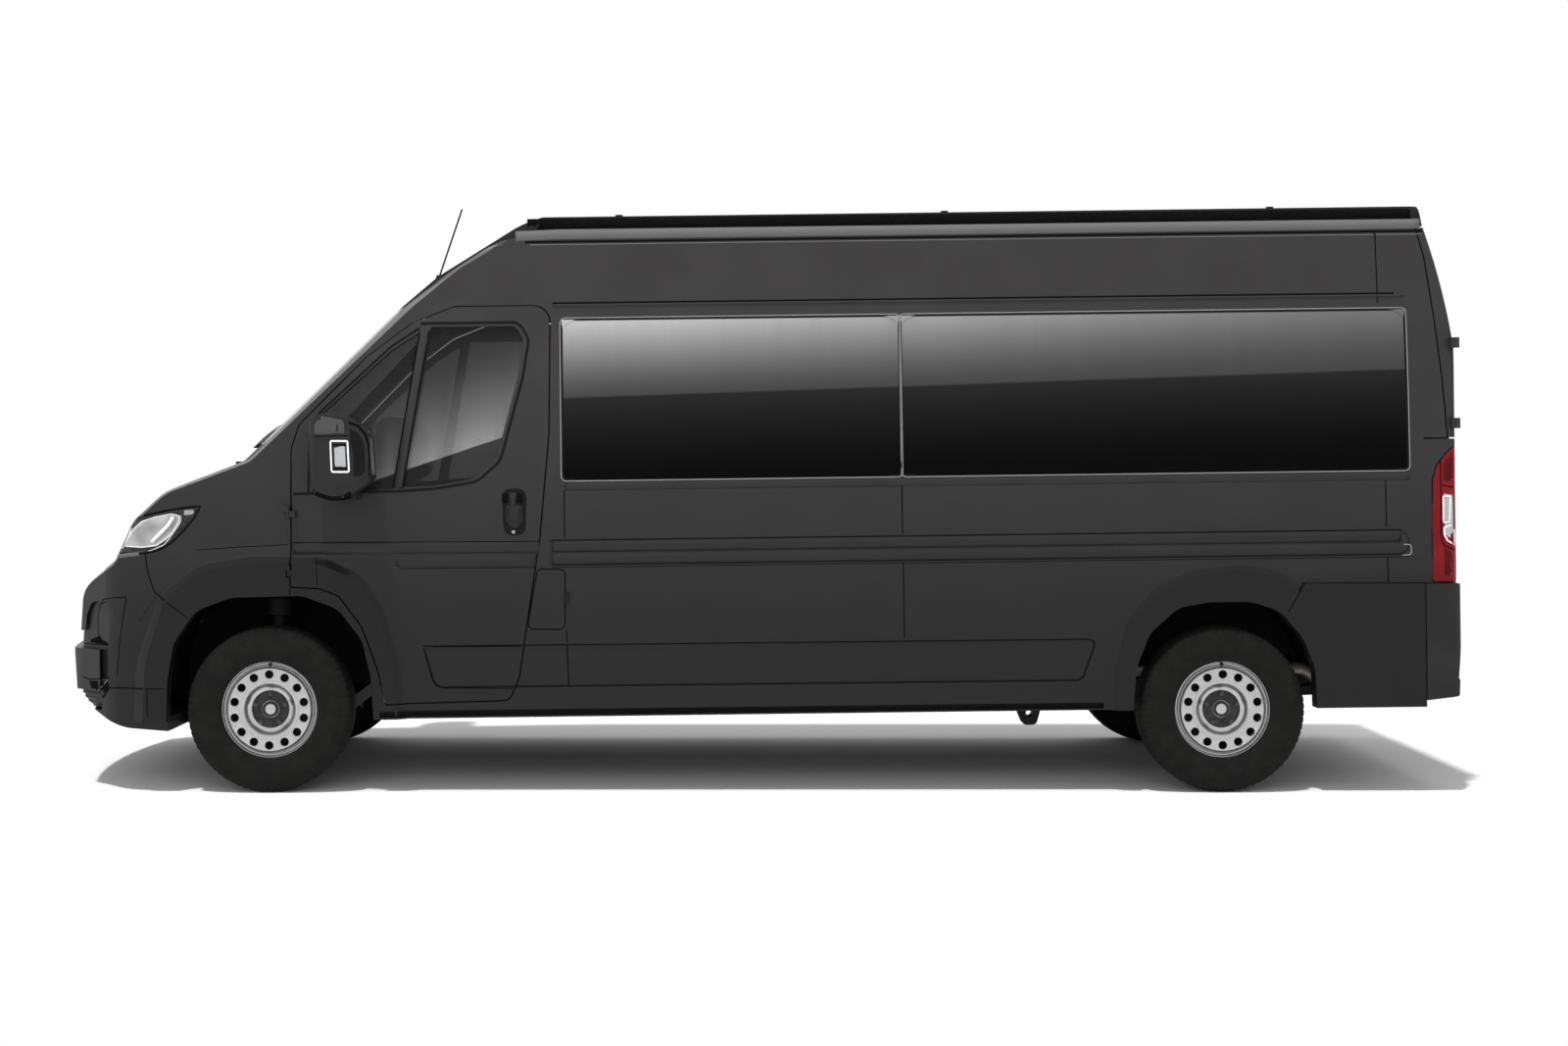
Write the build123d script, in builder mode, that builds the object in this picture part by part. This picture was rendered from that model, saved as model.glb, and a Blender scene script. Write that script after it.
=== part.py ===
from build123d import *
import math
import os

os.makedirs("parts", exist_ok=True)

# A long high-roof minibus. Millimetres and degrees; +X to the rear, +Y to the right-hand side,
# +Z up, the ground at z = 0 and the origin under the middle of the vehicle.

# ---- driving dimensions ----
wheelbase = 4035
front_overhang = 948
rear_overhang = 1015
rake = 0.72                 # the body stands nose down by this angle
tyre_diameter = 700
tyre_width = 225
rim_seat_diameter = 406
rim_flange_diameter = 441
front_track = 1810
rear_track = 1790
half_width = 1003           # flat sides, without the arch flares
flare_stand = 22            # how far the arch flares stand out of the sides
wall = 60                   # side wall thickness
roof_wall = 45
roof_point_u = (1500, 2900, 4300)   # threaded fixing points for a rack
roof_point_y = 800
roof_point_h = 2440
roof_point_boss = 16
roof_point_hole = 3.4
roof_point_depth = 25
tow_hole = 6.5              # holes in the rails for a tow bar
tow_hole_x = 2500
tow_hole_z = 515
tow_hole_spacing = 150
glass = 6
seam = 6                    # gap round everything that opens
floor_top = 560
floor_thickness = 60
roof_height = 2475
sill_bottom = 305
belt = 1308                 # lower edge of the side windows
window_top = 1986
gutter = 2375               # line between the sides and the roof
door_bottom = 371
door_axis_u = 94            # cab door hinge line, behind the front axle
door_axis_y = half_width + 26
door_pin = 7
door_hinge_feet = (915, 1165)
knuckle_length = 24
leaf_depth = 40
flap_axis_u = 1264          # fuel flap hinge line
flap_axis_y = half_width + 6
flap_pin = 5
flap_hinge_foot = 785
flap_knuckle = 16
rear_axis_u = 5036          # rear door hinge line
running_gap = 0.3           # between faces that slide on or rest against each other

# ---- frames ----
axle_height = tyre_diameter / 2
front_axle_x = front_overhang - (front_overhang + wheelbase + rear_overhang) / 2
rear_axle_x = front_axle_x + wheelbase
tilt_cos = math.cos(math.radians(rake))
tilt_sin = math.sin(math.radians(rake))
datum = Vector(front_axle_x + axle_height * tilt_sin, 0, axle_height * (1 - tilt_cos))
along = Vector(tilt_cos, 0, tilt_sin)
upward = Vector(-tilt_sin, 0, tilt_cos)
# body planes: u runs rearwards from the front axle and h up from the ground, both tilted by the rake
side_plane = Plane(origin=datum, x_dir=along, z_dir=(0, -1, 0))
plan_plane = Plane(origin=datum, x_dir=along, z_dir=upward)
section_plane = Plane(origin=datum, x_dir=(0, 1, 0), z_dir=along)
far = 9000                  # longer than the vehicle


def at(u, y, h):
    return datum + along * u + upward * h + Vector(0, y, 0)


def side_prism(points, radii, inner, outer):
    """A side-view outline carried from one distance left of the middle to another."""
    with BuildPart() as block:
        with BuildSketch(side_plane.offset(inner)):
            with BuildLine():
                FilletPolyline(*points, radius=radii, close=True)
            make_face()
        extrude(amount=outer - inner)
    return block.part


def side_box(u0, u1, h0, h1, inner, outer):
    """A block between two u, two h and two distances left of the middle."""
    with BuildPart() as block:
        with BuildSketch(side_plane.offset(inner)):
            with BuildLine():
                Polyline((u0, h0), (u1, h0), (u1, h1), (u0, h1), close=True)
            make_face()
        extrude(amount=outer - inner)
    return block.part


def side_disc(u, h, radius, inner, outer):
    """A pin across the vehicle between two distances left of the middle."""
    with BuildPart() as pin:
        with BuildSketch(side_plane.offset(inner)):
            with Locations((u, h)):
                Circle(radius)
        extrude(amount=outer - inner)
    return pin.part


def knuckle(u, left, low, high, radius, leaf_end, leaf_depth):
    """One knuckle of an upright hinge on the left side, with the leaf that carries it."""
    with BuildPart() as half:
        with BuildSketch(plan_plane.offset(low)):
            with Locations((u, -left)):
                Circle(radius)
        extrude(amount=high - low)
        add(side_box(min(u, leaf_end), max(u, leaf_end), low, high, left - leaf_depth, left))
    return half.part


def section_prism(points, radii, rear_of, ahead_of):
    """A cross-section outline of (y, h) points carried between two u."""
    with BuildPart() as block:
        with BuildSketch(section_plane.offset(rear_of)):
            with BuildLine():
                FilletPolyline(*points, radius=radii, close=True)
            make_face()
        extrude(amount=ahead_of - rear_of)
    return block.part


def common(first, *others):
    """What all the given shapes share; each may be of several solids."""
    shared = first
    for other in others:
        shared = shared & other
    return shared


def without(first, *others):
    """The first solid less all the others."""
    with BuildPart() as rest:
        add(first)
        for other in others:
            add(other, mode=Mode.SUBTRACT)
    return rest.part


def joined(*solids):
    with BuildPart() as whole:
        for solid in solids:
            add(solid)
    return whole.part


def flipped(solid):
    """The same piece on the other side of the vehicle."""
    with BuildPart() as other:
        add(mirror(solid, about=Plane.XZ, mode=Mode.PRIVATE))
    return other.part


def save(part, name):
    part.label = name
    export_step(part, "parts/" + name + ".step")


# ---- outer shape ----
nose_axis = 3200            # the nose and the windscreen are curved about a vertical line here
nose_profile = [            # u, h, corner radius; from under the bumper up to the roof
    (-430, 250, 0), (-770, 284, 250), (-912, 380, 110), (-924.6, 600, 400), (-905, 862, 130),
    (-770, 975, 60), (-690, 1150, 150), (-560, 1270, 200), (-215, 1400, 120), (450, 2045, 700),
    (640, 2205, 400), (1020, 2440, 300), (1230, roof_height, 600), (2000, roof_height, 0),
]
tail_foot = (5035, 823)
tail_knee = (5055, 1250)
tail_middle = (5040, 1799)
tail_top = (4926, 2340)
half_section = [            # y, h; from the sill to the gutter
    (960, 200), (995, 330), (half_width, 620), (half_width, 941), (992, 1052), (986, 1280),
]
section_shoulder = (908, 2330)
nose_plan = [               # u, y, corner radius
    (-300, 1003, 450), (-640, 985, 250), (-900, 700, 400), (-960, 300, 400),
]


def envelope(inset):
    """The outside of the body, or the same shape moved inwards by the inset."""
    with BuildPart() as form:
        with BuildSketch(side_plane):
            with BuildLine():
                FilletPolyline(*[(u, h) for u, h, r in nose_profile],
                               radius=[r for u, h, r in nose_profile[1:-1]])
                Polyline((2000, roof_height), (nose_axis + 400, roof_height),
                         (nose_axis + 400, 250), (-430, 250))
            make_face()
            if inset:
                offset(amount=-inset, kind=Kind.INTERSECTION)
            with Locations((nose_axis + 1000, 1400)):
                Rectangle(2000, 4000, mode=Mode.SUBTRACT)
        revolve(axis=Axis(at(nose_axis, 0, 0), upward))
        with BuildSketch(side_plane):
            with BuildLine():
                Polyline((-1500, 0), (5030, 0), tail_foot, tail_knee)
                ThreePointArc(tail_knee, tail_middle, tail_top)
                Polyline(tail_top, (4900, 2600), (-1500, 2600), (-1500, 0))
            make_face()
            if inset:
                offset(amount=-inset, kind=Kind.INTERSECTION)
        extrude(amount=1500, both=True, mode=Mode.INTERSECT)
        with BuildSketch(section_plane):
            with BuildLine():
                Polyline(*half_section)
                ThreePointArc(half_section[-1], (957, 1850), section_shoulder)
                FilletPolyline(section_shoulder, (880, 2425), (760, 2438), radius=60)
                ThreePointArc((760, 2438), (0, 2464), (-760, 2438))
                FilletPolyline((-760, 2438), (-880, 2425), (-908, 2330), radius=60)
                ThreePointArc((-908, 2330), (-957, 1850), (-half_section[-1][0], half_section[-1][1]))
                Polyline(*[(-y, h) for y, h in reversed(half_section)])
                Line((-960, 200), (960, 200))
            make_face()
            if inset:
                offset(amount=-inset, kind=Kind.INTERSECTION)
        extrude(amount=far, both=True, mode=Mode.INTERSECT)
        with BuildSketch(plan_plane):
            with BuildLine():
                right = [(u, y) for u, y, r in nose_plan]
                radii = [r for u, y, r in nose_plan]
                left = [(u, -y) for u, y in reversed(right)]
                FilletPolyline((5034, 1010), (300, 1010), *right, *left, (300, -1010), (5034, -1010),
                               (5062, -600), (5069, 0), (5062, 600),
                               radius=[60, 900, *radii, *reversed(radii), 900, 60, 900, 3000, 900],
                               close=True)
            make_face()
            if inset:
                offset(amount=-inset, kind=Kind.INTERSECTION)
        extrude(amount=4000, both=True, mode=Mode.INTERSECT)
    return form.part


front_arch = [(-437, 150), (-424, 480), (-395, 640), (-300, 775), (-150, 828), (150, 832),
              (300, 775), (400, 640), (436, 480), (452, 150)]
front_arch_radii = [5, 400, 120, 120, 120, 120, 120, 120, 400, 5]
front_flare = [(-585, 150), (-562, 560), (-470, 850), (-300, 985), (-60, 1022), (230, 1010),
               (405, 935), (510, 780), (575, 520), (600, 150)]
front_flare_radii = [5, 400, 150, 200, 400, 300, 150, 150, 400, 5]
rear_arch = [(u + wheelbase, h) for u, h in
             [(-395, 150), (-372, 480), (-310, 630), (-190, 735), (-60, 757), (120, 757),
              (240, 715), (335, 600), (385, 470), (395, 150)]]
rear_arch_radii = [5, 300, 120, 120, 200, 200, 120, 120, 200, 5]
rear_flare = [(u + wheelbase, h) for u, h in
              [(-500, 150), (-478, 480), (-420, 700), (-300, 835), (-130, 915), (90, 938),
               (260, 900), (400, 790), (480, 560), (505, 150)]]
rear_flare_radii = [5, 400, 150, 150, 200, 200, 150, 150, 200, 5]


def flare(outline, radii):
    """The raised rim round one wheel opening, on the left side."""
    with BuildPart() as rim:
        with BuildSketch(side_plane.offset(half_width - 15)):
            with BuildLine():
                FilletPolyline(*outline, radius=radii, close=True)
            make_face()
        extrude(amount=15 + flare_stand, taper=50)
        with BuildSketch(side_plane.offset(half_width - 40)):
            with BuildLine():
                FilletPolyline(*outline, radius=radii, close=True)
            make_face()
        extrude(amount=25)
        split(bisect_by=Plane(at(0, 0, sill_bottom), z_dir=upward), keep=Keep.TOP)
    return rim.part


def both_sides(solid):
    return joined(solid, flipped(solid))


# the moulded corner behind each rear wheel stands out as far as the arch flare does
corner_outline = [(4309, 712), (4379, 831), (4889, 825), (4889, sill_bottom), (4309, sill_bottom)]
corner_pad = side_prism(corner_outline, 1, half_width - 40, half_width + flare_stand)


raw_body = envelope(0)
skin_seat = envelope(glass + 1)
inner_wall = envelope(wall)
arches = both_sides(joined(
    side_prism(front_arch, front_arch_radii, 560, 1100),
    side_prism(rear_arch, rear_arch_radii, 700, 1100)))
flares = both_sides(joined(flare(front_flare, front_flare_radii), flare(rear_flare, rear_flare_radii),
                           corner_pad))

# pressed lines in the sides: a band below the windows and a shallow panel over the sill
band = side_prism([(1195, 945), (4830, 945), (4830, 1052), (1195, 1052)],
                  [2, 50, 50, 2], 900, 1100)
sill_panel = side_prism([(654, 612), (3504, 606), (3440, 432), (705, 436)],
                        [20, 30, 40, 20], 900, 1100)
pressed = both_sides(joined(band, sill_panel))
with BuildPart() as body_block:
    add(raw_body)
    add(flares)
    add(common(without(raw_body, envelope(5)), pressed), mode=Mode.SUBTRACT)
    add(arches, mode=Mode.SUBTRACT)
outer = body_block.part

hollow_low = joined(side_box(-330, 4880, 100, 640, -half_width + wall + 8, half_width - wall - 8))
shell = without(outer, inner_wall, hollow_low)


# ---- seams between the panels, in the side view ----
roof_line = [(568, 2062), (930, 2312), (1230, gutter), (5200, gutter)]
door_outline = [            # u, h, corner radius
    (1203, 2046, 70), (1194, 1506, 900), (1150, 1060, 900), (1057, 475, 60), (1015, 380, 40),
    (497, door_bottom, 8), (468, 512, 60), (402, 700, 120), (305, 832, 60), (225, 864, 30),
    (102, 872, 8), (107, 1450, 60), (140, 1552, 60), (430, 1838, 200), (620, 1977, 150), (800, 2046, 60),
]
quarter_light = [(185, 1270, 25), (530, 1276, 8), (655, 1942, 8), (533, 1867, 60), (225, 1590, 60),
                 (188, 1510, 30)]
door_window = [(577, 1284, 8), (712, 1289, 60), (880, 1318, 90), (975, 1400, 60), (1068, 1751, 300),
               (1092, 1900, 40), (1062, 1962, 40), (700, 1962, 8)]
window_gap = 8              # between two panes of one side
window_split = 2690
bonnet_corners = [(-1000, 660), (-600, 692), (-250, 784), (-115, 790)]
bonnet_gap = 9
bonnet_axis = (-112, 1404)
bonnet_arm_y = 500
bonnet_arm_half = 10
bonnet_slot_half = 22
bonnet_pin = 6
bonnet_rear = 212           # how far ahead of the front axle the bonnet ends, in the middle
bonnet_front_h = 1002
screen_bottom = 1476
screen_top = 2060
screen_low_y = 868
screen_top_y = 735
lamp_outline = [(-900, 1018, 5), (-512, 1018, 30), (-407, 1060, 40), (-282, 1217, 15), (-440, 1200, 90),
                (-600, 1160, 60), (-700, 1082, 20), (-900, 1078, 5)]
lamp_inner_y = 640
bumper_seam = [(-336, 746), (-481, 856), (-509, 948), (-517, 1018)]
rear_seam = [(4898, 2335), (4929, 2209), (4960, 1962), (4986, 1712), (5000, 1504), (5004, 1440)]
rear_door_foot = 836
rear_lamp_y = 861
rear_lamp_top = 1405
rear_lamp_u = 4926


def points_of(outline):
    return [(u, h) for u, h, r in outline]


def radii_of(outline):
    return [r for u, h, r in outline]


def grown(outline, amount, inner, outer):
    """A side-view outline with rounded corners, grown by an amount, carried across."""
    with BuildPart() as block:
        with BuildSketch(side_plane.offset(inner)):
            with BuildLine():
                FilletPolyline(*points_of(outline), radius=radii_of(outline), close=True)
            make_face()
            if amount:
                offset(amount=amount)
        extrude(amount=outer - inner)
    return block.part


def window(first, last, low, high, amount):
    """One rounded pane outline in the side view."""
    with BuildPart() as block:
        with BuildSketch(side_plane.offset(700)):
            with Locations(((first + last) / 2, (low + high) / 2)):
                RectangleRounded(last - first + 2 * amount, high - low + 2 * amount, 60 + amount)
        extrude(amount=500)
    return block.part


def bonnet_shape(amount):
    """The plan of the bonnet, grown by an amount, from below its front edge upwards."""
    corners = [(u, y + amount) for u, y in bonnet_corners]
    rear_u, rear_y = corners[-1]
    rear_radius = nose_axis + bonnet_rear - amount
    with BuildPart() as block:
        with BuildSketch(plan_plane.offset(bonnet_front_h - amount)):
            with BuildLine():
                rear_u = nose_axis - math.sqrt(rear_radius ** 2 - rear_y ** 2)
                Polyline((-1000, -corners[0][1]), *corners[:-1], (rear_u, rear_y))
                ThreePointArc((rear_u, rear_y), (nose_axis - rear_radius, 0), (rear_u, -rear_y))
                Polyline((rear_u, -rear_y), *[(u, -y) for u, y in reversed(corners[:-1])])
            make_face()
        extrude(amount=900)
    return block.part


def screen_shape(amount):
    return section_prism(
        [(screen_low_y + amount, screen_bottom - amount), (screen_top_y + amount, screen_top + amount),
         (-screen_top_y - amount, screen_top + amount), (-screen_low_y - amount, screen_bottom - amount)],
        [60, 80, 80, 60], -600, 1100)


# ---- layers under the skin ----
skin_layer = without(raw_body, envelope(glass))
seat_layer = without(raw_body, envelope(glass + 0.3))
lamp_layer = without(raw_body, envelope(90))
tail_layer = without(raw_body, envelope(35))
tail_seat = without(raw_body, envelope(35.3))

pane_spans = [(1254, window_split - window_gap / 2), (window_split + window_gap / 2, 4833)]
panes = joined(*[window(a, b, belt, window_top, 0) for a, b in pane_spans])
pane_seats = joined(*[window(a, b, belt, window_top, 3) for a, b in pane_spans])
pane_holes = joined(*[window(a, b, belt, window_top, -35) for a, b in pane_spans])
bonnet_space = bonnet_shape(bonnet_gap)
cowl_half_y = 862
with BuildPart() as behind_bonnet:
    with BuildSketch(plan_plane.offset(1330)):
        with Locations((nose_axis, 0)):
            Circle(nose_axis + bonnet_rear - seam)
    extrude(amount=screen_bottom - 1330)
cowl_zone = common(side_box(-400, 300, 1330, screen_bottom, -cowl_half_y, cowl_half_y),
                   behind_bonnet.part)
screen_hole = screen_shape(-35)
screen_seat = common(screen_shape(3), seat_layer)

# ---- side walls, with the A-pillars, the door openings, the sills and the arch rims ----
wall_outline = [(99, 150), (5200, 150), (5200, gutter), (1230, gutter), (930, 2312), (568, 2062),
                (300, 2062), (-330, 1500), (-330, 1402), (-150, 1402), (-30, 1310), (110, 1310),
                (110, 868), (99, 868)]
left_half = side_prism(wall_outline, 1, 600, 1100)
rear_zone = side_prism(
    [(u - seam, h) for u, h in rear_seam] + [(4900, 1440), (4900, 830), (5300, 830), (5300, 2341),
                                             (4800, 2341)], 0.5, -1100, 1100)
rear_corner = side_box(4700, 5300, 100, 1434, rear_lamp_y, 1200)
rear_bumper_zone = side_box(4889, 5300, 100, 826, -1100, 1100)
tail_lamp_outline = [(rear_lamp_u, 832, 4), (5200, 832, 4), (5200, 1412, 4), (5037, 1412, 20),
                     (4955, 1335, 60), (4932, 1262, 60)]
tail_lamp_space = common(grown(tail_lamp_outline, 2, 700, 1100), rear_corner, tail_seat)
door_hole = grown(door_outline, seam, 700, 1100)
flap_outline = [(1143, 932, 25), (1259, 929, 25), (1255, 676, 25), (1096, 679, 25)]
flap_thickness = 12
flap_pocket = grown(flap_outline, 3, half_width - 50, 1100)

left_shell = common(shell, left_half)
with BuildPart() as side_wall_plain:
    add(left_shell)
    add(door_hole, mode=Mode.SUBTRACT)
    add(bonnet_space, mode=Mode.SUBTRACT)
    add(cowl_zone, mode=Mode.SUBTRACT)
    add(common(pane_seats, seat_layer), mode=Mode.SUBTRACT)
    add(pane_holes, mode=Mode.SUBTRACT)
    add(screen_hole, mode=Mode.SUBTRACT)
    add(screen_seat, mode=Mode.SUBTRACT)
    add(without(rear_zone, rear_corner), mode=Mode.SUBTRACT)
    add(rear_bumper_zone, mode=Mode.SUBTRACT)
    add(tail_lamp_space, mode=Mode.SUBTRACT)
    add(side_box(-500, 5300, 0, sill_bottom, 500, 1200), mode=Mode.SUBTRACT)
flap_knuckles = [knuckle(flap_axis_u, flap_axis_y, low, low + flap_knuckle - running_gap, flap_pin,
                         flap_axis_u + 16, 8)
                 for low in (flap_hinge_foot, flap_hinge_foot + 2 * flap_knuckle + running_gap)]
flap_notch = side_box(flap_axis_u - 14, flap_axis_u + flap_pin + 1, flap_hinge_foot + flap_knuckle - running_gap,
                      flap_hinge_foot + 2 * flap_knuckle + running_gap, flap_axis_y - 11, 1100)
side_wall_left = joined(without(side_wall_plain.part, flap_pocket, flap_notch), *flap_knuckles)
sliding_outline = [(1238, 395, 60), (2704, 395, 60), (2704, 2300, 90), (1238, 2300, 90)]
sliding_hole = flipped(grown(sliding_outline, 0, 700, 1100))
side_wall_right = without(flipped(side_wall_plain.part), sliding_hole)
sliding_door = common(flipped(side_wall_plain.part), flipped(grown(sliding_outline, -seam / 2, 700, 1100)))
save(side_wall_left, "side_wall_left")
save(side_wall_right, "side_wall_right")
save(sliding_door, "sliding_door")

# ---- roof ----
roof_outline = [(-300, 2062), (568, 2062), (930, 2312), (1230, gutter), (5200, gutter), (5200, 2700),
                (-300, 2700)]
with BuildPart() as roof:
    add(common(shell, side_prism(roof_outline, 1, -1100, 1100)))
    add(common(shell, side_box(4700, 5100, 2341, gutter, -600, 600)))
    add(screen_hole, mode=Mode.SUBTRACT)
    add(screen_seat, mode=Mode.SUBTRACT)
    with BuildSketch(plan_plane.offset(roof_point_h)):
        with Locations(*[(u, side * roof_point_y) for u in roof_point_u for side in (1, -1)]):
            Circle(roof_point_boss)
    extrude(amount=-roof_wall)
    with BuildSketch(plan_plane.offset(roof_point_h)):
        with Locations(*[(u, side * roof_point_y) for u in roof_point_u for side in (1, -1)]):
            Circle(roof_point_hole)
    extrude(amount=-roof_point_depth, mode=Mode.SUBTRACT)
save(roof.part, "roof")

# ---- glass ----
windscreen = common(skin_layer, screen_shape(0))
save(windscreen, "windscreen")
side_glass = both_sides(common(panes, skin_layer))
save(side_glass, "side_glass")

# ---- front panels ----
bonnet_fascia = [(-1100, 990, 2), (-600, 990, 2), (-600, 1030, 2), (-1100, 1030, 2)]
bumper_outline = [(-1100, 100), (-336, 100), *bumper_seam, (-1100, 1018)]
lamp_zone = grown(lamp_outline, 0, lamp_inner_y, 1100)
headlamp = without(common(lamp_layer, lamp_zone), bonnet_space)
fender_outline = [(99, 150), (99, 1310), (-30, 1310), (-150, 1402), (-330, 1402), (-1100, 1300),
                  (-1100, 1018), *reversed(bumper_seam), (-336, 600)]
with BuildPart() as fender:
    add(common(shell, side_prism(fender_outline, 1, 560, 1100)))
    add(cowl_zone, mode=Mode.SUBTRACT)
    add(grown(lamp_outline, 1, lamp_inner_y - 2, 1100), mode=Mode.SUBTRACT)
    add(bonnet_space, mode=Mode.SUBTRACT)
    add(door_hole, mode=Mode.SUBTRACT)
    for foot in door_hinge_feet:
        add(side_box(door_axis_u - door_pin - 5, door_axis_u + 10, foot - 5, foot + knuckle_length + running_gap,
                     door_axis_y - leaf_depth - 5, 1100), mode=Mode.SUBTRACT)
        add(knuckle(door_axis_u, door_axis_y, foot + knuckle_length + running_gap,
                    foot + 2 * knuckle_length, door_pin, door_axis_u - 26, leaf_depth))
save(both_sides(fender.part), "front_fenders")
save(both_sides(headlamp), "headlamps")
with BuildPart() as bonnet:
    add(common(shell, bonnet_shape(0)))
    for middle in (bonnet_arm_y, -bonnet_arm_y):
        add(side_box(-215, bonnet_axis[0], 1374, 1398, middle - bonnet_arm_half, middle + bonnet_arm_half))
        add(side_disc(*bonnet_axis, bonnet_pin + 3, middle - bonnet_arm_half, middle + bonnet_arm_half))
save(bonnet.part, "bonnet")
beam_low = 430              # a beam stands out of the bumper between two steps
beam_high = 606
beam_end_u = -733
beam_stand = 22
beam = common(without(envelope(-beam_stand), inner_wall),
              side_box(-1100, beam_end_u, beam_low, beam_high, -1100, 1100))
recess_outline = [(-1100, 607, 1), (-698, 607, 5), (-680, 693, 60), (-659, 816, 12), (-785, 808, 40),
                  (-812, 749, 40), (-822, 680, 20), (-1100, 680, 1)]
recess_depth = 12
recess_inner_y = 560
recess = common(without(raw_body, envelope(recess_depth)),
                both_sides(grown(recess_outline, 0, recess_inner_y, 1100)))
intake_low = 346
intake_depth = 40
intake = common(without(raw_body, envelope(intake_depth)),
                side_box(-1100, beam_end_u, intake_low, beam_low - 2, -1100, 1100))
grille_hole = section_prism([(-480, 634), (480, 634), (440, 872), (-440, 872)], 36, -1100, -600)
grille_fit = section_prism([(-479.7, 634.3), (479.7, 634.3), (439.7, 871.7), (-439.7, 871.7)], 35.7,
                           -1100, -600)
grille_depth = 45
grille_space = common(without(raw_body, envelope(grille_depth)), grille_hole)
with BuildPart() as front_bumper:
    add(common(shell, side_prism(bumper_outline, 1, -1100, 1100)))
    add(beam)
    add(recess, mode=Mode.SUBTRACT)
    add(intake, mode=Mode.SUBTRACT)
    add(grille_space, mode=Mode.SUBTRACT)
    add(bonnet_space, mode=Mode.SUBTRACT)
    add(grown(bonnet_fascia, 0, -lamp_inner_y, lamp_inner_y), mode=Mode.SUBTRACT)
save(front_bumper.part, "front_bumper")
grille_bar_h = (664, 708, 752, 796, 840)
grille_rib_y = (-300, -100, 100, 300)
bar_half = 9
rib_half = 6
bars = joined(*[side_box(-1100, -600, h - bar_half, h + bar_half, -500, 500) for h in grille_bar_h])
ribs = joined(*[side_box(-1100, -600, 630, 880, y - rib_half, y + rib_half) for y in grille_rib_y])
bar_layer = without(envelope(8), envelope(24))
rib_layer = without(envelope(20), envelope(grille_depth - running_gap))
grille = joined(common(bars, bar_layer, grille_fit), common(ribs, rib_layer, grille_fit))
save(grille, "grille")
with BuildPart() as cowl:
    add(common(shell, cowl_zone))
    add(screen_hole, mode=Mode.SUBTRACT)
    add(screen_seat, mode=Mode.SUBTRACT)
    for middle in (bonnet_arm_y, -bonnet_arm_y):
        add(side_box(-190, -96, 1320, screen_bottom + 4, middle - bonnet_slot_half, middle + bonnet_slot_half),
            mode=Mode.SUBTRACT)
        for near, away in ((bonnet_arm_half + running_gap, bonnet_slot_half + 2),
                           (-bonnet_slot_half - 2, -bonnet_arm_half - running_gap)):
            add(side_disc(*bonnet_axis, bonnet_pin, middle + near, middle + away))
save(cowl.part, "cowl")

# ---- rear panels ----
rear_bumper_profile = [(4889, 823, 5), (5042, 823, 12), (5056, 775, 20), (5052, 626, 20), (5028, 424, 5),
                       (5036, 414, 5), (5032, 348, 10), (4889, 332, 5)]
bumper_half = half_width + flare_stand
with BuildPart() as rear_bumper:
    with BuildSketch(side_plane):
        with BuildLine():
            FilletPolyline(*points_of(rear_bumper_profile), radius=radii_of(rear_bumper_profile), close=True)
        make_face()
    extrude(amount=bumper_half, both=True)
    with BuildSketch(plan_plane):
        with BuildLine():
            FilletPolyline((4800, bumper_half), (5044, bumper_half), (5058, 780), (5066, 0), (5058, -780),
                           (5044, -bumper_half), (4800, -bumper_half), radius=[50, 500, 3000, 500, 50])
            Line((4800, -bumper_half), (4800, bumper_half))
        make_face()
    extrude(amount=1500, mode=Mode.INTERSECT)
    add(side_box(4700, 4985, 300, 900, -half_width + wall, half_width - wall), mode=Mode.SUBTRACT)
save(rear_bumper.part, "rear_bumper")
tail_lamp = common(tail_layer, grown(tail_lamp_outline, 0, rear_lamp_y + 3, 1100))
save(both_sides(tail_lamp), "tail_lamps")

door_side = side_prism(rear_seam + [(4900, 1440), (4900, rear_door_foot), (5300, rear_door_foot),
                                    (5300, 2335)], 0.5, 3, 1100)
door_below = side_box(4700, 5300, 100, 1440, rear_lamp_y - seam, 1200)
rear_window = [(190, 1330), (790, 1330), (765, 1990), (190, 1990)]


def rear_pane(amount):
    with BuildPart() as block:
        with BuildSketch(section_plane.offset(4800)):
            with BuildLine():
                FilletPolyline(*[(-y, h) for y, h in rear_window], radius=70, close=True)
            make_face()
            if amount:
                offset(amount=amount)
        extrude(amount=400)
    return block.part


hinge_heights = [1500, 1840]
hinge_axis_y = half_width + 10
hinge_pin = 11
hinge_length = 44


def hinge_barrel(u, y, h, length, radius):
    with BuildPart() as barrel:
        with BuildSketch(plan_plane.offset(h - length / 2)):
            with Locations((u, -y)):
                Circle(radius)
        extrude(amount=length)
    return barrel.part


rear_door = common(shell, door_side)
with BuildPart() as rear_door_left:
    add(rear_door)
    add(door_below, mode=Mode.SUBTRACT)
    add(common(rear_pane(3), seat_layer), mode=Mode.SUBTRACT)
    add(rear_pane(-30), mode=Mode.SUBTRACT)
rear_door_part = rear_door_left.part
rear_glass = common(skin_layer, rear_pane(0))

hinge_arms = joined(*[hinge_barrel(rear_axis_u, hinge_axis_y, h, hinge_length, hinge_pin)
                      for h in hinge_heights])
hinge_leaves = joined(*[side_box(rear_axis_u - 22, rear_axis_u + 2, h - hinge_length / 2,
                                 h + hinge_length / 2, 930, hinge_axis_y) for h in hinge_heights])
rear_door_left = joined(rear_door_part, hinge_arms, without(hinge_leaves, inner_wall))
save(rear_door_left, "rear_door_left")
save(flipped(rear_door_left), "rear_door_right")
save(rear_glass, "rear_glass_left")
save(flipped(rear_glass), "rear_glass_right")

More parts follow.
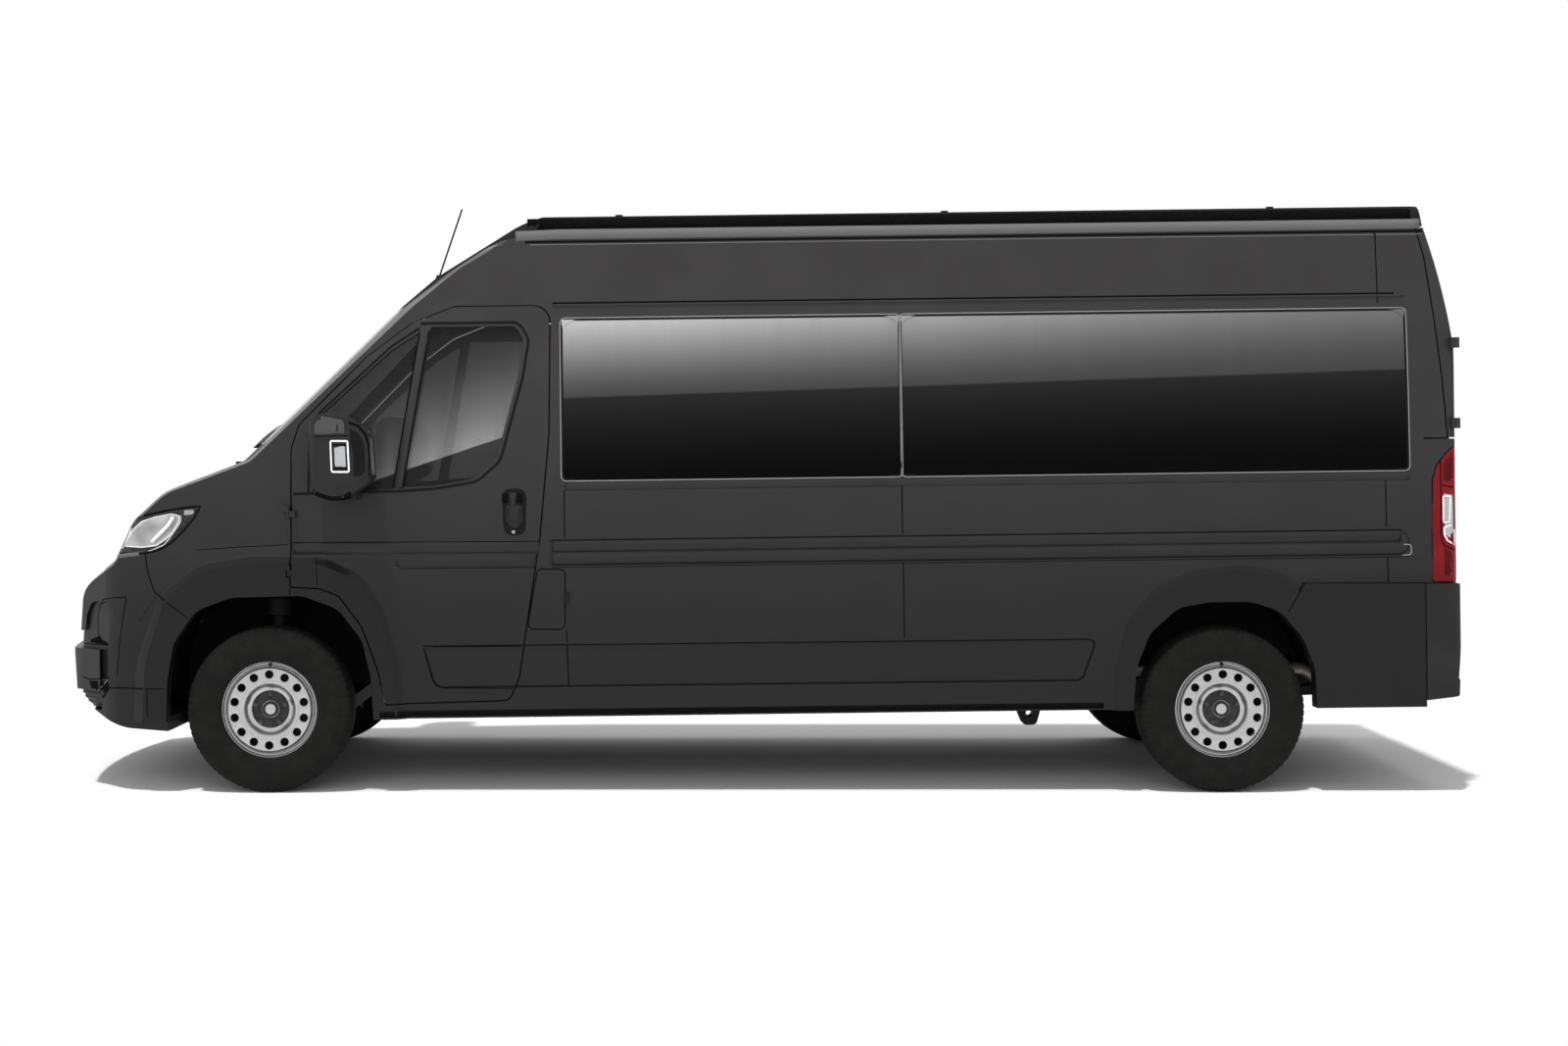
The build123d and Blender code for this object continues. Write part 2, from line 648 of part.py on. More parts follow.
# ---- cab doors ----
pane_depth = 12
pane_edge = 8
pane_layer = without(envelope(pane_depth), envelope(pane_depth + glass))
with BuildPart() as cab_door:
    add(common(without(outer, envelope(22)), grown(door_outline, 0, 700, 1100)))
    add(common(shell, grown(door_outline, -18, 700, 1100)))
    for outline in (quarter_light, door_window):
        add(grown(outline, 0, 700, 1100), mode=Mode.SUBTRACT)
        add(common(pane_layer, grown(outline, pane_edge, 700, 1100)), mode=Mode.SUBTRACT)
    for foot in door_hinge_feet:
        add(side_box(door_axis_u - 10, door_axis_u + door_pin + 5, foot + knuckle_length,
                     foot + 2 * knuckle_length + 5, door_axis_y - leaf_depth - 5, 1100), mode=Mode.SUBTRACT)
        add(knuckle(door_axis_u, door_axis_y, foot, foot + knuckle_length, door_pin, door_axis_u + 30,
                    leaf_depth))
cab_glass = joined(*[common(pane_layer, grown(outline, pane_edge - 0.3, 700, 1100))
                     for outline in (quarter_light, door_window)])
save(cab_door.part, "cab_door_left")
save(flipped(cab_door.part), "cab_door_right")
save(cab_glass, "cab_glass_left")
save(flipped(cab_glass), "cab_glass_right")

# ---- mirrors: a tall housing on an arm at the door's front corner ----
mirror_outline = [(210, 1300, 25), (206, 1560, 25), (262, 1601, 30), (372, 1583, 40), (463, 1520, 40),
                  (472, 1318, 40), (392, 1262, 30), (325, 1236, 30), (245, 1252, 40)]
mirror_in_y = 1040
mirror_out_y = 1252
with BuildPart() as mirror_left:
    with BuildSketch(side_plane.offset(mirror_in_y)):
        with BuildLine():
            FilletPolyline(*points_of(mirror_outline), radius=radii_of(mirror_outline), close=True)
        make_face()
    extrude(amount=mirror_out_y - mirror_in_y)
    with BuildSketch(plan_plane.offset(1200)):
        with BuildLine():
            FilletPolyline((480, -mirror_in_y + 12), (470, -mirror_out_y), (330, -mirror_out_y),
                           (208, -mirror_out_y + 60), (200, -mirror_in_y), (330, -mirror_in_y + 12),
                           radius=[12, 30, 90, 70, 30, 60], close=True)
        make_face()
    extrude(amount=500, mode=Mode.INTERSECT)
    add(side_box(285, 392, 1236, 1263, 970, mirror_in_y + 30))
    add(envelope(-running_gap), mode=Mode.SUBTRACT)
save(mirror_left.part, "mirror_left")
save(flipped(mirror_left.part), "mirror_right")

# ---- fuel flap on the left side ----
fuel_flap = common(without(outer, envelope(flap_thickness)), grown(flap_outline, -2, 900, 1100))
fuel_flap = joined(fuel_flap, knuckle(flap_axis_u, flap_axis_y, flap_hinge_foot + flap_knuckle,
                                      flap_hinge_foot + 2 * flap_knuckle, flap_pin, flap_axis_u - 16, 8))
save(fuel_flap, "fuel_flap")

# ---- wheels ----
bead = rim_seat_diameter / 2
rim_half = 90
rim_gauge = 7
disc_profile = [            # distance outwards from the wheel's middle plane, radius
    (66, bead - rim_gauge + 1), (72, 172), (84, 160), (84, 132), (76, 116), (46, 102), (44, 20),
    (52, 20), (54, 95), (84, 109), (91, 128), (91, 163), (79, 178), (74, bead - rim_gauge + 1),
]
disc_holes = 14
disc_hole_pcd = 292
disc_hole_diameter = 27
bolt_holes = 5
bolt_pcd = 130
hub_radius = 62
hub_inner = -62
brake_radius = 150


def wheel_plane(axle_x, track):
    """x points outwards along the left wheel's axle and y points down."""
    return Plane(origin=(axle_x, -track / 2, axle_height), x_dir=(0, -1, 0), z_dir=(1, 0, 0))


def wheel_axis(axle_x, track):
    return Axis((axle_x, -track / 2, axle_height), (0, -1, 0))


def make_tyre(axle_x, track):
    half = tyre_width / 2
    radius = tyre_diameter / 2
    with BuildPart() as tyre:
        with BuildSketch(wheel_plane(axle_x, track)):
            with BuildLine():
                FilletPolyline((-rim_half + 9, bead), (-rim_half + 9, 222), (-half, 262), (-half, 300),
                               (-98, radius - 9), (-60, radius), (60, radius), (98, radius - 9),
                               (half, 300), (half, 262), (rim_half - 9, 222), (rim_half - 9, bead),
                               radius=[1, 6, 20, 30, 14, 60, 60, 14, 30, 20, 6, 1], close=True)
            make_face()
        revolve(axis=wheel_axis(axle_x, track))
    return tyre.part


def make_rim(axle_x, track):
    flange = rim_flange_diameter / 2
    plane = wheel_plane(axle_x, track)
    face = Plane(origin=(axle_x, -track / 2, axle_height), z_dir=(0, -1, 0))
    with BuildPart() as rim:
        with BuildSketch(plane):
            with BuildLine():
                Polyline((-rim_half, bead - rim_gauge), (-rim_half, flange), (-rim_half + 6, flange),
                         (-rim_half + 8.7, bead), (rim_half - 8.7, bead), (rim_half - 6, flange),
                         (rim_half, flange), (rim_half, bead - rim_gauge), close=True)
            make_face()
            with BuildLine():
                Polyline(*disc_profile, close=True)
            make_face()
        revolve(axis=wheel_axis(axle_x, track))
        with BuildSketch(face):
            with PolarLocations(disc_hole_pcd / 2, disc_holes):
                Circle(disc_hole_diameter / 2)
        extrude(amount=150, mode=Mode.SUBTRACT)
        with BuildSketch(face.offset(hub_inner)):
            Circle(hub_radius)
        extrude(amount=44 - hub_inner)
        with BuildSketch(face.offset(-20)):
            Circle(brake_radius)
        extrude(amount=22)
        with BuildSketch(face.offset(44)):
            Circle(30)
        extrude(amount=20)
    return rim.part


for end, axle_x, track in (("front", front_axle_x, front_track), ("rear", rear_axle_x, rear_track)):
    tyre = make_tyre(axle_x, track)
    rim = make_rim(axle_x, track)
    save(tyre, "tyre_" + end + "_left")
    save(flipped(tyre), "tyre_" + end + "_right")
    save(rim, "rim_" + end + "_left")
    save(flipped(rim), "rim_" + end + "_right")

# ---- steering knuckles, each with its strut, turning about an inclined line ----
kingpin_foot_y = 805
kingpin_foot_z = 235
kingpin_lean = 8.5
strut_radius = 28
strut_length = 590
lean_sin = math.sin(math.radians(kingpin_lean))
lean_cos = math.cos(math.radians(kingpin_lean))
kingpin = Plane(origin=(front_axle_x, -kingpin_foot_y, kingpin_foot_z), x_dir=(1, 0, 0),
                z_dir=(0, lean_sin, lean_cos))
hub_face_y = front_track / 2 + hub_inner - running_gap
with BuildPart() as knuckle_left:
    with BuildSketch(kingpin):
        Circle(22)
    extrude(amount=80)
    with BuildSketch(Plane(origin=(front_axle_x, -hub_face_y, axle_height), z_dir=(0, 1, 0))):
        Circle(70)
    extrude(amount=62)
    with BuildSketch(kingpin.offset(150)):
        Circle(strut_radius)
    extrude(amount=strut_length - 150)
    with BuildSketch(kingpin.offset(500)):
        Circle(strut_radius + 32)
    extrude(amount=70)
save(knuckle_left.part, "knuckle_left")
save(flipped(knuckle_left.part), "knuckle_right")

# ---- wheel housings ----
housing_wall = 8
front_housing_y = 556
rear_housing_y = 692


def housing(outline, radii, inner_y, low_h):
    """A shell over one wheel, open below and at the side of the body."""
    marked = [(u, h, r) for (u, h), r in zip(outline, radii)]
    return without(
        grown(marked, housing_wall, inner_y, 930),
        grown(marked, 0, inner_y + housing_wall, 1100),
        side_box(-700, 5200, 0, low_h, 400, 1200))


with BuildPart() as strut_top:
    with BuildSketch(kingpin.offset(strut_length + running_gap)):
        Circle(strut_radius)
    extrude(amount=40)
front_housing = joined(housing(front_arch, front_arch_radii, front_housing_y, 420),
                       common(strut_top.part, grown([(u, h, r) for (u, h), r in
                              zip(front_arch, front_arch_radii)], housing_wall - 1, 600, 930)))
rear_housing = housing(rear_arch, rear_arch_radii, rear_housing_y, floor_top - floor_thickness)
housings = both_sides(joined(front_housing, rear_housing))
save(housings, "wheel_housings")

# ---- floor, bulkhead, dashboard, steering wheel ----
floor_side = half_width - wall - 8
with BuildPart() as floor:
    with BuildSketch(plan_plane.offset(floor_top - floor_thickness)):
        with BuildLine():
            Polyline((-40, -front_housing_y), (-40, front_housing_y), (460, front_housing_y),
                     (460, floor_side), (4889, floor_side), (4889, -floor_side), (460, -floor_side),
                     (460, -front_housing_y), close=True)
        make_face()
    extrude(amount=floor_thickness)
    for side in (1, -1):
        add(grown([(u, h, r) for (u, h), r in zip(rear_arch, rear_arch_radii)], housing_wall,
                  min(side * rear_housing_y, side * 1100), max(side * rear_housing_y, side * 1100)),
            mode=Mode.SUBTRACT)
save(floor.part, "floor")
bulkhead_u = -60
bulkhead_gauge = 20
with BuildPart() as bulkhead:
    add(side_box(bulkhead_u, bulkhead_u + bulkhead_gauge, floor_top - floor_thickness, 1320,
                 -floor_side + 12, floor_side - 12))
    for side in (1, -1):
        add(grown([(u, h, r) for (u, h), r in zip(front_arch, front_arch_radii)], housing_wall,
                  min(side * front_housing_y, side * 1100), max(side * front_housing_y, side * 1100)),
            mode=Mode.SUBTRACT)
save(bulkhead.part, "bulkhead")
dash_half = 880
dash_outline = [(-40, 900, 2), (-40, 1325, 2), (160, 1345, 60), (330, 1320, 40), (390, 1190, 60),
                (320, 1000, 60), (80, 900, 60)]
dashboard = side_prism(points_of(dash_outline), radii_of(dash_outline), -dash_half, dash_half)
dashboard = without(dashboard, joined(*[side_box(-60, 460, 700, 850, side * 720 - 200, side * 720 + 200)
                                        for side in (1, -1)]))
save(dashboard, "dashboard")
wheel_centre_u = 610
wheel_centre_h = 1185
driver_y = 430
column_lean = 40
column_length = 300
column_radius = 52
column = Plane(origin=at(wheel_centre_u, -driver_y, wheel_centre_h), x_dir=(0, 1, 0),
               z_dir=along * math.cos(math.radians(column_lean))
               + upward * math.sin(math.radians(column_lean)))
with BuildPart() as steering_wheel:
    with BuildSketch(Plane(origin=column.origin, x_dir=column.x_dir, z_dir=-column.y_dir)):
        with Locations((190, 0)):
            Circle(15)
    revolve(axis=Axis(column.origin, column.z_dir))
    with BuildSketch(column.offset(-30)):
        Circle(60)
    extrude(amount=25)
    with BuildSketch(column.offset(-22)):
        with PolarLocations(110, 3, start_angle=90):
            Rectangle(150, 34)
    extrude(amount=16)
    with BuildSketch(column.offset(-30)):
        Circle(column_radius)
    extrude(amount=-column_length)
save(without(steering_wheel.part, dashboard), "steering_wheel")

# ---- seats ----
seat_base_h = 900
cushion_thickness = 110
cushion_length = 470
back_top = 1600
back_foot = seat_base_h + cushion_thickness + running_gap
seat_rows = [               # u of the cushion's front edge, left edge y, right edge y, seats
    (800, -690, -170, 1), (800, -30, 860, 2),
    (1900, -905, -35, 2), (1900, 420, 895, 1),
    (2680, -905, -35, 2), (2680, 420, 895, 1),
    (3460, -905, -35, 2), (3460, 420, 895, 1),
    (4240, -905, -35, 2), (4240, 35, 905, 2),
]
with BuildPart() as seat_frames:
    for u, left, right, count in seat_rows:
        inner_left = max(left + 60, -680)
        inner_right = min(right - 60, 680)
        add(side_box(u + 60, u + 380, floor_top, seat_base_h - 30, -inner_right, -inner_left))
        add(side_box(u + 20, u + 440, seat_base_h - 30, seat_base_h, -right + 20, -left - 20))
with BuildPart() as seat_cushions:
    for u, left, right, count in seat_rows:
        add(side_box(u, u + cushion_length, seat_base_h, seat_base_h + cushion_thickness, -right, -left))
with BuildPart() as seat_backs:
    for u, left, right, count in seat_rows:
        back = [(u + 380, back_foot, 8), (u + 490, back_foot, 8),
                (u + 620, back_top, 30), (u + 520, back_top, 30)]
        add(grown(back, 0, -right, -left))
        for place in range(count):
            middle = left + (right - left) * (place + 0.5) / count
            rest = [(u + 535, back_top - 4, 8), (u + 620, back_top - 4, 8), (u + 655, back_top + 170, 25),
                    (u + 565, back_top + 170, 25)]
            add(grown(rest, 0, -middle - 130, -middle + 130))
save(seat_frames.part, "seat_frames")
save(seat_cushions.part, "seat_cushions")
save(seat_backs.part, "seat_backs")

# ---- underframe ----
rail_y = 465
rail_half = 35
rail_low = 410
floor_low = floor_top - floor_thickness
subframe_h = 270
arm_half = 36
with BuildPart() as underframe:
    for side in (1, -1):
        add(side_box(-780, 4860, rail_low, floor_low, side * rail_y - rail_half, side * rail_y + rail_half))
        add(side_box(-140, 260, subframe_h, rail_low, side * rail_y - rail_half, side * rail_y + rail_half))
    for u in (700, 1400, 3120, 4860 - 60):
        add(side_box(u, u + 60, rail_low + 10, floor_low, -rail_y, rail_y))
    add(side_box(-140, -60, subframe_h, subframe_h + 60, -rail_y, rail_y))
    add(side_box(180, 260, subframe_h, subframe_h + 60, -rail_y, rail_y))
front_beam = common(side_box(-940, -780, rail_low - 10, floor_low + 40, -720, 720), inner_wall)
with BuildPart() as arm_left:
    with BuildSketch(kingpin.offset(-running_gap)):
        Circle(26)
    extrude(amount=-32)
    with BuildSketch(Plane(origin=(front_axle_x, 0, kingpin_foot_z - 34), z_dir=(0, 0, 1))):
        with BuildLine():
            Polyline((-arm_half, -kingpin_foot_y - 10), (arm_half, -kingpin_foot_y - 10),
                     (200, -rail_y), (-130, -rail_y), close=True)
        make_face()
    extrude(amount=22)
    add(side_box(-130, 200, kingpin_foot_z - 34, subframe_h, rail_y - rail_half, rail_y + rail_half))
with BuildPart() as tow_holes:
    with BuildSketch(Plane(origin=(tow_hole_x, -700, tow_hole_z), x_dir=(1, 0, 0), z_dir=(0, 1, 0))):
        with Locations((-tow_hole_spacing / 2, 0), (tow_hole_spacing / 2, 0)):
            Circle(tow_hole)
    extrude(amount=1400)
underframe_all = joined(underframe.part, front_beam, both_sides(arm_left.part))
underframe_all = without(underframe_all, tow_holes.part)
save(underframe_all, "underframe")

# ---- rear axle with leaf springs ----
spring_y = 600
spring_half = 35
spring_gauge = 22
spring_front_u = wheelbase - 820
spring_rear_u = wheelbase + 620
bracket_outline = [(3150, 420, 10), (3350, 420, 10), (3290, 205, 25), (3232, 205, 25)]
bracket_hole = (3260, 258)
with BuildPart() as rear_axle:
    with BuildSketch(Plane(origin=(rear_axle_x, 0, axle_height), z_dir=(0, 1, 0))):
        Circle(45)
    extrude(amount=rear_track / 2 + hub_inner - running_gap, both=True)
springs = []
for side in (1, -1):
    with BuildPart() as spring:
        with BuildSketch(side_plane.offset(side * spring_y - spring_half)):
            with BuildLine():
                ThreePointArc((spring_front_u, 385), (wheelbase - 60, 283), (spring_rear_u, 385))
                Line((spring_rear_u, 385), (spring_rear_u, 385 + spring_gauge))
                ThreePointArc((spring_rear_u, 385 + spring_gauge), (wheelbase - 60, 283 + spring_gauge),
                              (spring_front_u, 385 + spring_gauge))
                Line((spring_front_u, 385 + spring_gauge), (spring_front_u, 385))
            make_face()
        extrude(amount=2 * spring_half)
        add(side_box(spring_front_u - 20, spring_front_u + 20, 385, floor_low,
                     side * spring_y - spring_half, side * spring_y + spring_half))
        add(side_box(spring_rear_u - 20, spring_rear_u + 20, 385, floor_low,
                     side * spring_y - spring_half, side * spring_y + spring_half))
        add(grown(bracket_outline, 0, side * spring_y - spring_half, side * spring_y + spring_half))
        add(side_disc(*bracket_hole, 15, side * spring_y - spring_half, side * spring_y + spring_half),
            mode=Mode.SUBTRACT)
        add(side_box(wheelbase - 70, wheelbase + 70, 290, axle_height,
                     side * spring_y - spring_half, side * spring_y + spring_half))
    springs.append(spring.part)
save(joined(rear_axle.part, *springs), "rear_axle")

# ---- fuel tank, exhaust, spare wheel, engine ----
tank_outline = [(1480, 300, 60), (2380, 300, 60), (2380, floor_low, 5), (1480, floor_low, 5)]
fuel_tank = side_prism(points_of(tank_outline), radii_of(tank_outline), 520, 880)
save(fuel_tank, "fuel_tank")
exhaust_route = [(420, 150, 365), (2650, 150, 365), (3050, -710, 365), (3560, -710, 445),
                 (4440, -710, 445), (4560, -710, 350), (4700, -710, 350)]
exhaust_radius = 26
with BuildPart() as exhaust:
    with BuildLine() as route:
        FilletPolyline(*[at(u, y, h) for u, y, h in exhaust_route], radius=70)
    with BuildSketch(Plane(origin=route.line @ 0, z_dir=route.line % 0)):
        Circle(exhaust_radius)
    sweep()
    with BuildSketch(section_plane.offset(1500)):
        with Locations((150, 355)):
            RectangleRounded(230, 100, 45)
    extrude(amount=700)
    for u, y in ((1700, 150), (2000, 150), (4500, -710)):
        add(side_box(u, u + 16, 365, floor_low, -y - 12, -y + 12))
save(exhaust.part, "exhaust")
spare_u = wheelbase + 410
spare_h = 388
with BuildPart() as spare_wheel:
    with BuildSketch(plan_plane.offset(spare_h - 100)):
        with Locations((spare_u, 0)):
            Circle(tyre_diameter / 2 - 8)
            Circle(60, mode=Mode.SUBTRACT)
    extrude(amount=200)
    with BuildSketch(plan_plane.offset(spare_h + 90)):
        with Locations((spare_u, 0)):
            Circle(70)
    extrude(amount=floor_low - spare_h - 90)
save(spare_wheel.part, "spare_wheel")
engine_outline = [(-640, 340, 30), (-160, 340, 30), (-160, 1020, 60), (-560, 960, 60)]
engine_block = side_prism(points_of(engine_outline), radii_of(engine_outline), -420, 420)
engine_block = joined(engine_block, side_box(-300, -200, 430, 480, -rail_y + rail_half, rail_y - rail_half))
save(engine_block, "engine_block")

# ---- wipers and antenna ----
antenna_u = 640
with BuildPart() as antenna:
    with BuildSketch(Plane(origin=at(antenna_u, -100, 2190), z_dir=along * 0.33 + upward * 0.94)):
        Circle(14)
    extrude(amount=45)
    with BuildSketch(Plane(origin=at(antenna_u, -100, 2190), z_dir=along * 0.33 + upward * 0.94)):
        Circle(4)
    extrude(amount=365)
save(without(antenna.part, raw_body), "antenna")
wiper_arms = [              # pairs of y and h on the windscreen
    ((-640, 1466), (-40, 1575)), ((60, 1466), (660, 1560)),
]
wiper_layer = without(envelope(-14), envelope(-0.3))
blade_half = 11
with BuildPart() as wipers:
    for start, stop in wiper_arms:
        run = Vector(stop[0] - start[0], stop[1] - start[1], 0)
        across = Vector(-run.Y, run.X, 0).normalized() * blade_half
        corners = [(start[0] - across.X, start[1] - across.Y), (stop[0] - across.X, stop[1] - across.Y),
                   (stop[0] + across.X, stop[1] + across.Y), (start[0] + across.X, start[1] + across.Y)]
        add(common(wiper_layer, section_prism(corners, 8, -400, 600)))
save(wipers.part, "wipers")
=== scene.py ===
import math

import bmesh
import bpy
from mathutils import Matrix, Vector
from mathutils.bvhtree import BVHTree


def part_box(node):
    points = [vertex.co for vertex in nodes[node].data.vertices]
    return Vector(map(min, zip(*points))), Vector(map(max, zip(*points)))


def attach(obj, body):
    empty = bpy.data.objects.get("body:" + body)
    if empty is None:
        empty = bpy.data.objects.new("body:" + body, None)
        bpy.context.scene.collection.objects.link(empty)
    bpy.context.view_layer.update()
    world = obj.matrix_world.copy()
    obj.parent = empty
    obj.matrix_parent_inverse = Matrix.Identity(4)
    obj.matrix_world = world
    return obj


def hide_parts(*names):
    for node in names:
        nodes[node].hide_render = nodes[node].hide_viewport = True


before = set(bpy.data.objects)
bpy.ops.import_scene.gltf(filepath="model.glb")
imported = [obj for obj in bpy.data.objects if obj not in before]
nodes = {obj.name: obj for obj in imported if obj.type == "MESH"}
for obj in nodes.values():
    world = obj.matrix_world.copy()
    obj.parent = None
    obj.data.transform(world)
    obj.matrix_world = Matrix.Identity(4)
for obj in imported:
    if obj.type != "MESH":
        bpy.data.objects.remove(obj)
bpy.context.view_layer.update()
print("frame loaded:", len(nodes), "nodes")

# the body stands nose down by this angle; u runs rearwards from the front axle, h up from the ground
stance = {"tilt": 0.72, "frontAxle": -2.051, "axleHeight": 0.35}
tiltCos = math.cos(math.radians(stance["tilt"]))
tiltSin = math.sin(math.radians(stance["tilt"]))
along = Vector((tiltCos, 0, tiltSin))
upward = Vector((-tiltSin, 0, tiltCos))
datum = Vector((stance["frontAxle"] + stance["axleHeight"] * tiltSin, 0, stance["axleHeight"] * (1 - tiltCos)))


def at(u, y, h):
    # a point of the body from millimetres behind the front axle, to the right and up
    return datum + along * (u / 1000) + Vector((0, y / 1000, 0)) + upward * (h / 1000)


# shader wiring
class Wire:
    # one output socket; plain maths on it adds Math nodes
    def __init__(self, tree, socket=None):
        self.tree = tree
        self.socket = socket

    def make(self, kind, settings=None, sockets=None, output=0):
        node = self.tree.nodes.new(kind)
        for name, value in (settings or {}).items():
            if name == "stops":
                ramp = node.color_ramp
                while len(ramp.elements) < len(value):
                    ramp.elements.new(0.5)
                for element, (position, colour) in zip(ramp.elements, value):
                    element.position = position
                    element.color = (*colour, 1)
            else:
                setattr(node, name, value)
        for key, value in (sockets or {}).items():
            if isinstance(value, Wire):
                self.tree.links.new(value.socket, node.inputs[key])
            else:
                node.inputs[key].default_value = value
        return Wire(self.tree, node.outputs[output] if len(node.outputs) else None)

    def maths(self, operation, first, second=0.0):
        return self.make("ShaderNodeMath", {"operation": operation}, {0: first, 1: second})

    def __add__(self, other):
        return self.maths("ADD", self, other)

    def __radd__(self, other):
        return self.maths("ADD", other, self)

    def __sub__(self, other):
        return self.maths("SUBTRACT", self, other)

    def __rsub__(self, other):
        return self.maths("SUBTRACT", other, self)

    def __mul__(self, other):
        return self.maths("MULTIPLY", self, other)

    def __rmul__(self, other):
        return self.maths("MULTIPLY", other, self)

    def __truediv__(self, other):
        return self.maths("DIVIDE", self, other)

    def __rtruediv__(self, other):
        return self.maths("DIVIDE", other, self)

    def clamped(self):
        return self.make("ShaderNodeClamp", None, {0: self})

    def between(self, low, high):
        # 0 below low, 1 above high, smooth between them
        return self.make("ShaderNodeMapRange", {"interpolation_type": "SMOOTHSTEP"},
                         {"Value": self, "From Min": low, "From Max": high})

    def blend(self, first, second):
        # a colour between two, by this value
        return self.make("ShaderNodeMix", {"data_type": "RGBA"}, {0: self, 6: first, 7: second}, 2)


def rgb(r, g, b):
    return (r, g, b, 1.0)


def place(wire):
    return wire.make("ShaderNodeTexCoord", output=3)


def noise(wire, scale, detail=3.0, rough=0.5, stretch=None):
    spot = place(wire)
    if stretch:
        spot = wire.make("ShaderNodeMapping", None, {"Vector": spot, "Scale": stretch})
    return wire.make("ShaderNodeTexNoise", None,
                     {"Vector": spot, "Scale": scale, "Detail": detail, "Roughness": rough})


def height(wire):
    return wire.make("ShaderNodeSeparateXYZ", None, {0: place(wire)}, 2)


def pattern(wire, kind, scale, *more):
    # noise, grains, or waves along the axis that kind names
    if kind == "noise":
        return noise(wire, scale, *more)
    if kind == "grain":
        return wire.make("ShaderNodeTexVoronoi", None, {"Vector": place(wire), "Scale": scale})
    return wire.make("ShaderNodeTexWave", {"bands_direction": kind}, {"Vector": place(wire), "Scale": scale})


def bumped(wire, amount, strength, distance=0.001):
    return wire.make("ShaderNodeBump", None, {"Strength": strength, "Distance": distance, "Height": amount})


finishes = {}


def finish(name, build):
    material = bpy.data.materials.new(name)
    material.use_nodes = True
    tree = material.node_tree
    tree.nodes.clear()
    wire = Wire(tree)
    shader = build(wire)
    out = tree.nodes.new("ShaderNodeOutputMaterial")
    tree.links.new(shader.socket, out.inputs["Surface"])
    finishes[name] = material
    return material


def surface(wire, **sockets):
    named = {"colour": "Base Color", "roughness": "Roughness", "metallic": "Metallic", "normal": "Normal",
             "coat": "Coat Weight", "coatRoughness": "Coat Roughness", "alpha": "Alpha",
             "sheen": "Sheen Weight", "sheenRoughness": "Sheen Roughness", "specular": "Specular IOR Level"}
    return wire.make("ShaderNodeBsdfPrincipled", None, {named[key]: value for key, value in sockets.items()})


# finishes
# low: the painted shade that the sides darken to towards the ground
paintLook = {"colour": (0.0235, 0.0221, 0.0223), "light": (0.0265, 0.0251, 0.0253), "dust": (0.0150, 0.0140, 0.0136),
             "low": (0.0080, 0.0075, 0.0075), "rim": (0.0060, 0.0058, 0.0058), "roughness": 0.45, "coat": 0.22,
             "coatRoughness": 0.2, "specular": 0.12}


def bodyPaint(wire):
    cloud = noise(wire, 3.2, 2)
    fine = noise(wire, 420, 2)
    low = 1 - height(wire).between(0.30, 0.95)
    dusty = (low * noise(wire, 9, 4, 0.62)).between(0.28, 0.9) * 0.45
    colour = cloud.between(0.3, 0.7).blend(rgb(*paintLook["colour"]), rgb(*paintLook["light"]))
    # painted shade: darker towards the ground, where the sides take less light
    colour = (1 - height(wire).between(0.3, 1.9)).blend(colour, rgb(*paintLook["low"]))
    colour = dusty.blend(colour, rgb(*paintLook["dust"]))
    # the arch rims and lower corners stand out of the flat sides and are moulded in a darker grained plastic
    proud = wire.make("ShaderNodeMath", {"operation": "ABSOLUTE"},
                      {0: wire.make("ShaderNodeSeparateXYZ", None, {0: place(wire)}, 1)})
    rim = proud.between(1.0045, 1.0065) * (1 - height(wire).between(1.05, 1.1))
    colour = rim.blend(colour, rgb(*paintLook["rim"]))
    return surface(wire, colour=colour, roughness=paintLook["roughness"] + dusty * 0.3 + fine * 0.03,
                   specular=paintLook["specular"], coat=(paintLook["coat"] - dusty * 0.1).clamped(),
                   coatRoughness=paintLook["coatRoughness"],
                   normal=bumped(wire, noise(wire, 160, 1), 0.02))


# where the painted reflection lies in the side panes
paneReflection = {"horizon": 1.7146, "slope": 0.0344, "middle": 0.54, "top": 2.06, "bottom": 1.33}


def sideGlass(wire):
    # privacy film with a painted reflection: a pale sky band that fades downwards and stops at a sloping horizon, near
    # black below it
    smear = noise(wire, 2.5, 3, 0.6, (1, 1, 2.2))
    streak = noise(wire, 3.0, 2, 0.5, (5, 1, 0.25))
    run = wire.make("ShaderNodeSeparateXYZ", None, {0: place(wire)}, 0)
    horizon = (run - paneReflection["middle"]) * paneReflection["slope"] + paneReflection["horizon"]
    rise = height(wire) - horizon
    above = (rise / (paneReflection["top"] - paneReflection["horizon"])).clamped()
    below = ((rise + paneReflection["horizon"] - paneReflection["bottom"])
             / (paneReflection["horizon"] - paneReflection["bottom"])).clamped()
    fall = 1 - (run + 0.5).between(-0.6, 3.4) * 0.62
    sky = above * above * 0.30 * fall + above * 0.075 * fall + 0.042
    dark = below * below * 0.014 + 0.001
    step = rise.between(-0.004, 0.006)
    grey = (step * sky + (1 - step) * dark) * (streak * 0.16 + 0.92)
    tintAndReflection = wire.make("ShaderNodeCombineColor", None, {0: grey, 1: grey, 2: grey * 1.01})
    return surface(wire, colour=tintAndReflection, roughness=0.03 + smear.between(0.4, 0.9) * 0.05, specular=0.04,
                   alpha=0.95 + smear * 0.03)


# the painted reflection in the cab panes, over the glass's own dark
cabPaneReflection = {"horizon": 1.861, "slope": 0.337, "reach": 0.46, "bright": 0.24, "dark": 0.014}


